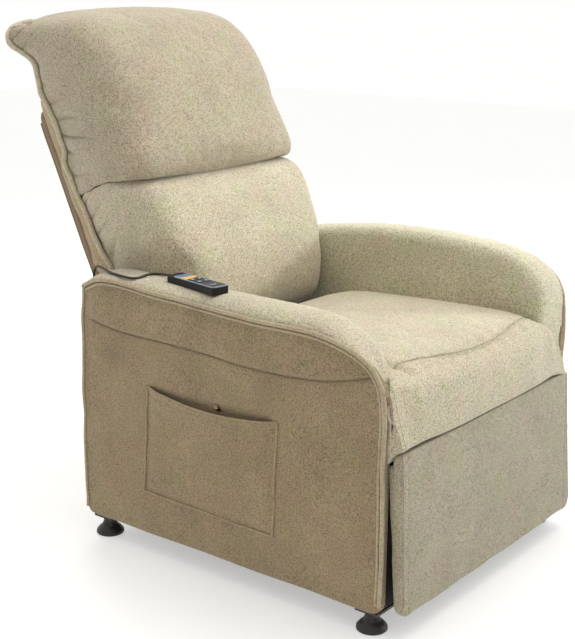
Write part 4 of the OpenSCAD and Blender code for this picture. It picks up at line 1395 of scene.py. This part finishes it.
def seat_section(x):
    """One slice of the seat: the pad between the arms, or the end of the roll that laps over an arm's front."""
    ax = abs(x)
    P = np.column_stack([np.full(len(SP), x), SP])
    front = np.arange(len(SP)) >= N_REAR + N_TOP
    k = max(0.0, 1 - (min(ax, HB) / HB) ** 4)
    top = smoothstep(-505, -470, P[:, 1]) * (P[:, 2] > 440)
    P[:, 2] += top * (9.0 * k - 7.0 * smoothstep(0.86, 1.0, min(ax, HB) / HB) ** 2)
    f = front * smoothstep(500, 470, P[:, 2]) * (P[:, 2] > 372)
    P[:, 1] -= 4.0 * f * k
    P[:, 2] -= 3.0 * k * smoothstep(400, 378, P[:, 2]) * (P[:, 1] < -520)
    near = x < 0
    end = NEAR_END if near else FAR_END
    t = max(0.0, (ax - HB) / (end - HB))
    lean = 0.25 * smoothstep(0.55, 1.0, min(ax, HB) / HB) + 0.75 * smoothstep(0.0, 0.7, t)
    fr = front & (P[:, 2] > 366)
    if ax <= HB + 1e-6:
        line = SE_Y if near else SF_Y
        P[fr, 1] += lean * (np.maximum(line(P[fr, 2]), P[fr, 1]) - P[fr, 1])
        return P
    if near:
        yr = np.interp(ax, [253, 275, 298, 320, 341], [-437, -450, -467, -485, -497])
        zr = np.interp(ax, [253, 275, 298, 320, 341], [500, 499, 497, 491, 480])
        zf = np.interp(ax, [253, 298, 320, 341], [489, 487, 483, 478.5])
        line = SE_Y
    else:
        yr = np.interp(ax, [253, 262, 275, 318], [-437, -470, -498.2, -498.4])
        zf = np.interp(ax, [253, 263, 274, 286, 297, 306, 313, 318], [489, 486, 479, 465, 447, 423, 398, 372])
        zr = zf + 5 * smoothstep(275, 253, ax)
        line = SF_Y
    zf0 = P[N_REAR + N_TOP, 2]
    zb = 362.0
    hi = front & (P[:, 2] > zb)
    P[hi, 2] = zb + (P[hi, 2] - zb) * max(zf - zb, 1.0) / (zf0 - zb)
    want = np.minimum(np.maximum(line(P[:, 2]), -533), -499.7)
    under = smoothstep(392, 383, P[:, 2])
    want = want * (1 - under) + np.maximum(want, P[:, 1]) * under
    P[fr, 1] += lean * (want[fr] - P[fr, 1])
    # back of the lobe, then its top
    yb = -499.4
    back = np.array([(yb, 356.0), (yb, min(462, zf - 8)), (yr + 3.0, zr - 12), (yr, zr - 4), (yr - 1.0, zr)])
    Q = resample(np.column_stack([np.full(5, x), back]), N_REAR)
    u = np.linspace(0, 1, N_TOP)
    ty = yr - 1.0 + (P[N_REAR + N_TOP, 1] - yr + 1.0) * u
    tz = zr + (zf - zr) * u**1.8 + 2.0 * np.sin(math.pi * u) * min(1.0, abs(yr + 499) / 30)
    P[:N_REAR] = Q
    P[N_REAR:N_REAR + N_TOP, 1], P[N_REAR:N_REAR + N_TOP, 2] = ty, tz
    # rounded corner into the end face
    q = min(1.0, max(0.0, 1 - (ax - (end - 9.0)) / 9.0))
    sc = (1 - (1 - q) ** 2.6) ** (1 / 2.6)
    low = np.array([-512.0, 425.0])
    m = np.array([0.62 + 0.38 * sc, 0.90 + 0.10 * sc])
    P[:, 1] = np.where(P[:, 1] < -499.6, np.minimum(low[0] + (P[:, 1] - low[0]) * m[0], -499.6), P[:, 1])
    P[:, 2] = low[1] + (P[:, 2] - low[1]) * m[1]
    P[:, 0] += np.sign(x) * (6.0 if near else 0.0) * smoothstep(0.86, 1.0, t) * smoothstep(-516, -500, P[:, 1]) * smoothstep(478, 462, P[:, 2])
    return P


def seat():
    xs = np.concatenate([-np.linspace(NEAR_END, 253.6, 46), np.linspace(-253, 253, 120), np.linspace(253.6, FAR_END, 46)])
    P = np.array([seat_section(x) for x in xs])
    caps = []
    for side in (0, -1):
        ring = P[side]
        c = ring[N_REAR:].mean(0)
        for k in (0.75, 0.45, 0.15):
            r = c + (ring - c) * k
            r[:, 0] = ring[:, 0] + np.sign(ring[0, 0]) * 3.0 * (1 - k)
            caps.append((side, r))
    left = [r for s_, r in caps if s_ == 0][::-1]
    right = [r for s_, r in caps if s_ == -1]
    G = np.concatenate([np.array(left), P, np.array(right)])
    return grid("seat_pad", G, flip=False), P, np.concatenate([[0] * 3, xs, [0] * 3])


seat_o, SG, SX = seat()
p, n = get_co(seat_o), normals(seat_o)
up = (p[:, 2] > 495) & (np.abs(p[:, 0]) < 200)
if np.mean(n[up, 2]) < 0:
    seat_o.data.flip_normals()
    seat_o.data.update()
p = get_co(seat_o)
seam_line = []
for _r in SG[np.abs(SG[:, 0, 0]) < 252.9]:
    _ys = np.interp(_r[0, 0], [-255, -223, -184, -144, -98, -43, 20, 98, 186, 253], [-447, -452, -466, -479, -488, -493, -495, -490, -475, -464])
    _j = np.where(_r[:, 2] > 470)[0]
    _j = _j[np.argsort(_r[_j, 1])]
    seam_line.append([_r[0, 0], _ys, np.interp(_ys, _r[_j, 1], _r[_j, 2])])
seam_line = np.array(seam_line)
d, at, _ = seam_dist(p, seam_line[::2])
a = -4.2 * np.exp(-(d / 3.6) ** 2) + puckers(p, seam_line[::2], 48.0, 1.6, 26.0, 131)
a += 2.2 * fbm(p, 140.0, 133, 2) + 1.3 * fbm(p, 60.0, 137, 2) + 0.3 * vnoise(p, 16.0, 139)
front_low = smoothstep(410, 385, p[:, 2])
a = a * (1 - 0.6 * front_low)
_col = np.arange(len(p)) % len(SP)
_row = SX[np.arange(len(p)) // len(SP)]
keep = (_col >= N_REAR) | (np.abs(_row) <= 253.1)
a = a * keep * (1 - 0.5 * (np.abs(p[:, 0]) > 325))
push(seat_o, a)
p = get_co(seat_o)
_main = (p[:, 1] > -497.0) & (np.abs(_row) <= 253.1)
p[_main, 0] = np.clip(p[_main, 0], -253.3, 253.3)
set_co(seat_o, p)
# edge seam on the end faces of the front roll
paint(thicken(seat_o, 3.0), "cushion_fabric")
done(seat_o, "seat_frame", ["seat_cushion"])
seam_t = []
sl2 = seam_line.copy()
sl2[:, 2] += 0.2
ends = []
for _sx in (-1,):
    col = int(np.argmin(np.abs(SG[:, 0, 0] - _sx * 326.0)))
    ln = SG[col][int(len(SP) * 0.60):int(len(SP) * 0.96)].copy()
    ln[:, 0] += _sx * 1.0
    ends.append(tube("e", ln, 1.5, sides=6, pre=True))
# the roll's end seam takes the paler welt fabric, a painted highlight
_o = paint(join("roll_seam", ends), "piping")
done(_o, "seat_frame")
_p = get_co(seat_o)
_ln = resample(seam_line, 160)
_top = []
for _q in _ln:
    _near = _p[(np.abs(_p[:, 0] - _q[0]) < 6) & (np.abs(_p[:, 1] - _q[1]) < 7) & (_p[:, 2] > 480)]
    _top.append([_q[0], _q[1], (_near[:, 2].max() if len(_near) else _q[2]) - 0.2])
_top = np.array(_top)
for _i in range(8):
    _top[1:-1, 2] = 0.5 * _top[1:-1, 2] + 0.25 * (_top[:-2, 2] + _top[2:, 2])
# a thin dark tube in the seat's seam groove, its colour painted shade
_o = paint(tube("seat_seam", _top, 0.8, sides=6, pre=True), "seam_dark")
done(_o, "seat_frame")


# ------------------------------------------------------------------ leg rest
def slab(name, W, H0, H1, r_low, r_high, tf, tb, r2, pillow, place, nu=90, nv=90, seed=1, rough_edge=0.0, bevel=0.0):
    """A stuffed panel: outline 2W by H0..H1 with corner radius r1, front and back depth, edge radius r2."""
    u = np.linspace(-1, 1, nu)
    v = np.linspace(-1, 1, nv)
    cl = lambda t: np.sign(t) * (1 - (1 - np.abs(t)) ** 1.7)
    U, V = np.meshgrid(cl(u), cl(v), indexing="ij")
    H = (H1 - H0) / 2
    x, h = U * W, V * H
    r1 = np.where(V > 0, r_high, r_low)
    ix, ih = np.clip(x, -(W - r1), W - r1), np.clip(h, -(H - r1), H - r1)
    dx, dh = x - ix, h - ih
    L = np.hypot(dx, dh)
    mx = np.maximum(np.abs(dx), np.abs(dh))
    s = np.where(L > 1e-9, mx / np.maximum(L, 1e-9), 0)
    x, h = ix + dx * s, ih + dh * s
    ex, eh = np.maximum(np.abs(x) - (W - r1), 0), np.maximum(np.abs(h) - (H - r1), 0)
    edge = np.where((ex > 0) & (eh > 0), r1 - np.hypot(ex, eh), np.minimum(W - np.abs(x), H - np.abs(h)))
    edge = np.maximum(edge, 0)
    k = np.sqrt(np.maximum(0, 1 - (1 - np.minimum(edge, r2) / r2) ** 2))
    pil = pillow * (1 - (x / W) ** 4) * (1 - (h / H) ** 4)
    zf = (tf * k + pil * k)
    zb = -(tb * k)
    h = h + (H0 + H1) / 2
    wob = rough_edge * vnoise(np.column_stack([x.ravel() / 1.0, h.ravel() * 0, h.ravel() * 0]), 70.0, seed).reshape(x.shape) * (1 - smoothstep(H0, H0 + 40, h))
    h = h + wob
    cut = bevel * smoothstep(H1 - 60, H1 - 4, h)
    F = place(x, h - cut * (1 - k) * 0.35, zf)
    B = place(x, h - cut, zb)
    o = closed_from(name, F, B)
    return o, F, edge


fr_top, fr_bot = np.array([-521.0, 373.0]), np.array([-544.5, 46.0])
fr_dir = (fr_top - fr_bot) / np.linalg.norm(fr_top - fr_bot)
fr_nrm = np.array([-fr_dir[1], fr_dir[0]])
FR_H = float(np.linalg.norm(fr_top - fr_bot))
FR_T = 17.0


def fr_place(x, h, z):
    mid = fr_bot - fr_nrm * 9.0
    P = np.empty(x.shape + (3,))
    P[..., 0] = x
    P[..., 1] = mid[0] + fr_dir[0] * h + fr_nrm[0] * z
    P[..., 2] = mid[1] + fr_dir[1] * h + fr_nrm[1] * z
    P[..., 1] -= 8.0 * smoothstep(0.15, 0.95, h / FR_H) * np.clip(z / 9.0, 0, 1)
    P[..., 0] += (22.0 * (1 - smoothstep(0.10, 0.95, h / FR_H)) - 9.0) * np.clip(x / 343.0, 0, 1) ** 3
    return P


leg, LFG, ledge = slab("leg_pad", 343.0, 0, FR_H + 2.0, 26.0, 9.0, 9.0, 14.0, 6.0, 4.0, fr_place, 130, 100, 151, 2.2, 26.0)
p = get_co(leg)
a = 1.7 * fbm(p, 140.0, 153, 2) + 0.9 * fbm(p, 50.0, 157, 2) + 0.25 * vnoise(p, 16.0, 159)
side_line = np.array([fr_place(np.array([-322.0]), np.array([h]), np.array([9.0]))[0] for h in np.linspace(8, FR_H - 8, 40)])
side_line2 = side_line * np.array([-1, 1, 1])
top_line2 = np.array([fr_place(np.array([x]), np.array([FR_H - 16.0]), np.array([9.0]))[0] for x in np.linspace(-325, 325, 60)])
for ln in (side_line, side_line2):
    d, _, _ = seam_dist(p, ln)
    a = a - 1.5 * np.exp(-(d / 3.5) ** 2) + puckers(p, ln, 44.0, 0.9, 22.0, 161)
front_only = (p[:, 1] < -500).astype(float)
push(leg, a * front_only)
p = get_co(leg)
# a limit at the board's front is computed here but not used; the points are set back unchanged
lim = fr_place(p[:, 0], np.zeros(len(p)), np.full(len(p), 0.0))
set_co(leg, p)
# the leg pad takes the darkened copy of the cushion fabric, its painted shade
paint(leg, "nap_low")
done(leg, "footrest", ["footrest_pad"])
_st = []
for _sx in (-1, 1):
    _ln = fr_place(np.full(60, _sx * 337.0), np.linspace(24, FR_H - 9, 60), np.full(60, 9.0))
    _st.append(tube("st", _ln, 0.8, sides=6, pre=True))
# thin dark tubes along the leg pad's side stitching, their colour painted shade of the stitched groove
_o = paint(join("leg_pad_stitching", _st), "seam_dark")
done(_o, "footrest")

# ------------------------------------------------------------------ handset dress
HS_M = Matrix.Translation((-0.3068, (-4.8 + YS) / 1000, 0.6003)) @ Matrix.Rotation(math.radians(-10.3), 4, "Z")


def hs_local(name, pts, faces):
    """Mesh given in the handset's own mm, placed on it."""
    me = bpy.data.meshes.new(name)
    me.from_pydata([tuple(HS_M @ Vector((a / 1000, b / 1000, c / 1000))) for a, b, c in pts], [], faces)
    me.update()
    o = bpy.data.objects.new(name, me)
    bpy.context.scene.collection.objects.link(o)
    return o


def rr_outline(w, l, r, cx=0.0, cy=0.0, n=7):
    out = []
    for sx, sy, a0 in ((1, 1, 0), (-1, 1, 90), (-1, -1, 180), (1, -1, 270)):
        for k in range(n):
            a = math.radians(a0 + 90 * k / (n - 1))
            out.append((cx + sx * (w / 2 - r) + r * math.cos(a), cy + sy * (l / 2 - r) + r * math.sin(a)))
    return out


def plate(name, outline, z0, z1, soft=0.0):
    """Prism with an optional rounded top edge."""
    n = len(outline)
    c = np.mean(outline, axis=0)
    levels = [(z0, 0.0), (z1 - soft, 0.0)]
    if soft:
        levels += [(z1 - soft * (1 - math.sin(a)), soft * (1 - math.cos(a))) for a in np.linspace(0.3, math.pi / 2, 5)]
    pts, f = [], []
    o = np.array(outline)
    nrm = np.column_stack([np.roll(o, -1, 0)[:, 1] - np.roll(o, 1, 0)[:, 1], -(np.roll(o, -1, 0)[:, 0] - np.roll(o, 1, 0)[:, 0])])
    nrm /= np.linalg.norm(nrm, axis=1)[:, None] + 1e-9
    for z, inset in levels:
        q = o - nrm * inset
        pts += [(a, b, z) for a, b in q]
    for k in range(len(levels) - 1):
        for i in range(n):
            j = (i + 1) % n
            f.append((k * n + i, k * n + j, (k + 1) * n + j, (k + 1) * n + i))
    f.append(tuple(range(n))[::-1])
    f.append(tuple((len(levels) - 1) * n + i for i in range(n)))
    return hs_local(name, pts, f)


def clip_rr(w, l, r, cx, cy, y0, y1):
    """Part of a rounded rectangle between two cross lines."""
    o = [(x, min(max(y, y0), y1)) for x, y in rr_outline(w, l, r, cx, cy, 9)]
    out = [o[0]]
    for q in o[1:]:
        if abs(q[0] - out[-1][0]) + abs(q[1] - out[-1][1]) > 1e-4:
            out.append(q)
    return out


for _n in ("handset_shell", "handset_face", "key_back_up", "key_back_down", "key_legs_up", "key_legs_down"):
    _b = NODES[_n].modifiers.new("edge", "BEVEL")
    _b.width = 0.0016 if _n == "handset_shell" else 0.0005
    _b.segments = 3
    _b.limit_method = "ANGLE"
    _b.angle_limit = math.radians(40)
    _b.use_clamp_overlap = True
band = paint(plate("handset_band", clip_rr(37.4, 127.4, 5.7, 0, -9, 32.8, 55), 15.7, 16.05, 0.15), "band_blue")
stripe = paint(plate("handset_stripe", [(-18.7, 12.5), (3.0, 15.5), (18.7, 23), (18.7, 33), (-18.7, 33)][::-1], 15.7, 16.05), "band_orange")
rim_o = rr_outline(38.6, 128.6, 6.2, 0, -9, 9)
rim_i = rr_outline(37.4, 127.4, 5.7, 0, -9, 9)
_n = len(rim_o)
trim = paint(hs_local("handset_trim", [(a, b, 14.1) for a, b in rim_o] + [(a, b, 15.95) for a, b in rim_o] + [(a, b, 15.95) for a, b in rim_i],
                      [(i, (i + 1) % _n, _n + (i + 1) % _n, _n + i) for i in range(_n)] + [(_n + i, _n + (i + 1) % _n, 2 * _n + (i + 1) % _n, 2 * _n + i) for i in range(_n)]), "trim_light")
for _o in (band, stripe, trim):
    done(_o, "handset")
# plain direction marks on the four keys
for _k, (_n, (cx, cy)) in enumerate(zip(("key_back_up", "key_back_down", "key_legs_up", "key_legs_down"), ((-9, 4), (9, 4), (-9, -18), (9, -18)))):
    sg = 1 if _k % 2 == 0 else -1
    tri = [(cx - 3.2, cy - 2.2 * sg), (cx + 3.2, cy - 2.2 * sg), (cx, cy + 3.0 * sg)]
    if sg < 0:
        tri = tri[::-1]
    o = paint(hs_local(_n + "_mark", [(a, b, 17.05) for a, b in tri] + [(a, b, 16.9) for a, b in tri], [(0, 1, 2), (3, 5, 4), (0, 3, 4, 1), (1, 4, 5, 2), (2, 5, 3, 0)]), "mark_light")
    done(o, _n)
# two pale sweeps beside the keys, as plain decoration
sw = []
for r0, a0, a1, cx, cy in ((9.5, 200, 340, 0, -46), (6.0, 190, 350, 0, -47), (13.0, 205, 320, 1.5, -44)):
    k = np.radians(np.linspace(a0, a1, 20))
    wdt = 0.8 * np.sin(np.linspace(0.15, math.pi - 0.15, 20))
    a = [(cx + (r0 + w) * math.cos(t), cy + (r0 + w) * 0.8 * math.sin(t), 16.0) for t, w in zip(k, wdt)]
    b = [(cx + (r0 - w) * math.cos(t), cy + (r0 - w) * 0.8 * math.sin(t), 16.0) for t, w in zip(k, wdt)]
    o = hs_local("sweep", a + b, [(i, i + 1, 21 + i, 20 + i) for i in range(19)])
    sw.append(o)
o = paint(join("handset_sweeps", sw), "mark_light")
done(o, "handset")

# ------------------------------------------------------------------ hard parts: eased edges on what shows
for _n, _o in NODES.items():
    if _n.startswith(("base_", "foot_", "front_feet", "rear_feet", "lift_", "rear_lift", "leg_", "footrest_b", "back_pivot", "back_hinge", "back_side", "back_cross",
                      "seat_side", "seat_cross", "control_box", "power_inlet", "cord_grommet", "back_actuator")):
        if any(m.type == "BEVEL" for m in _o.modifiers):
            continue
        _b = _o.modifiers.new("edge", "BEVEL")
        _b.width = 0.0008
        _b.segments = 2
        _b.limit_method = "ANGLE"
        _b.angle_limit = math.radians(50)
        _b.use_clamp_overlap = True
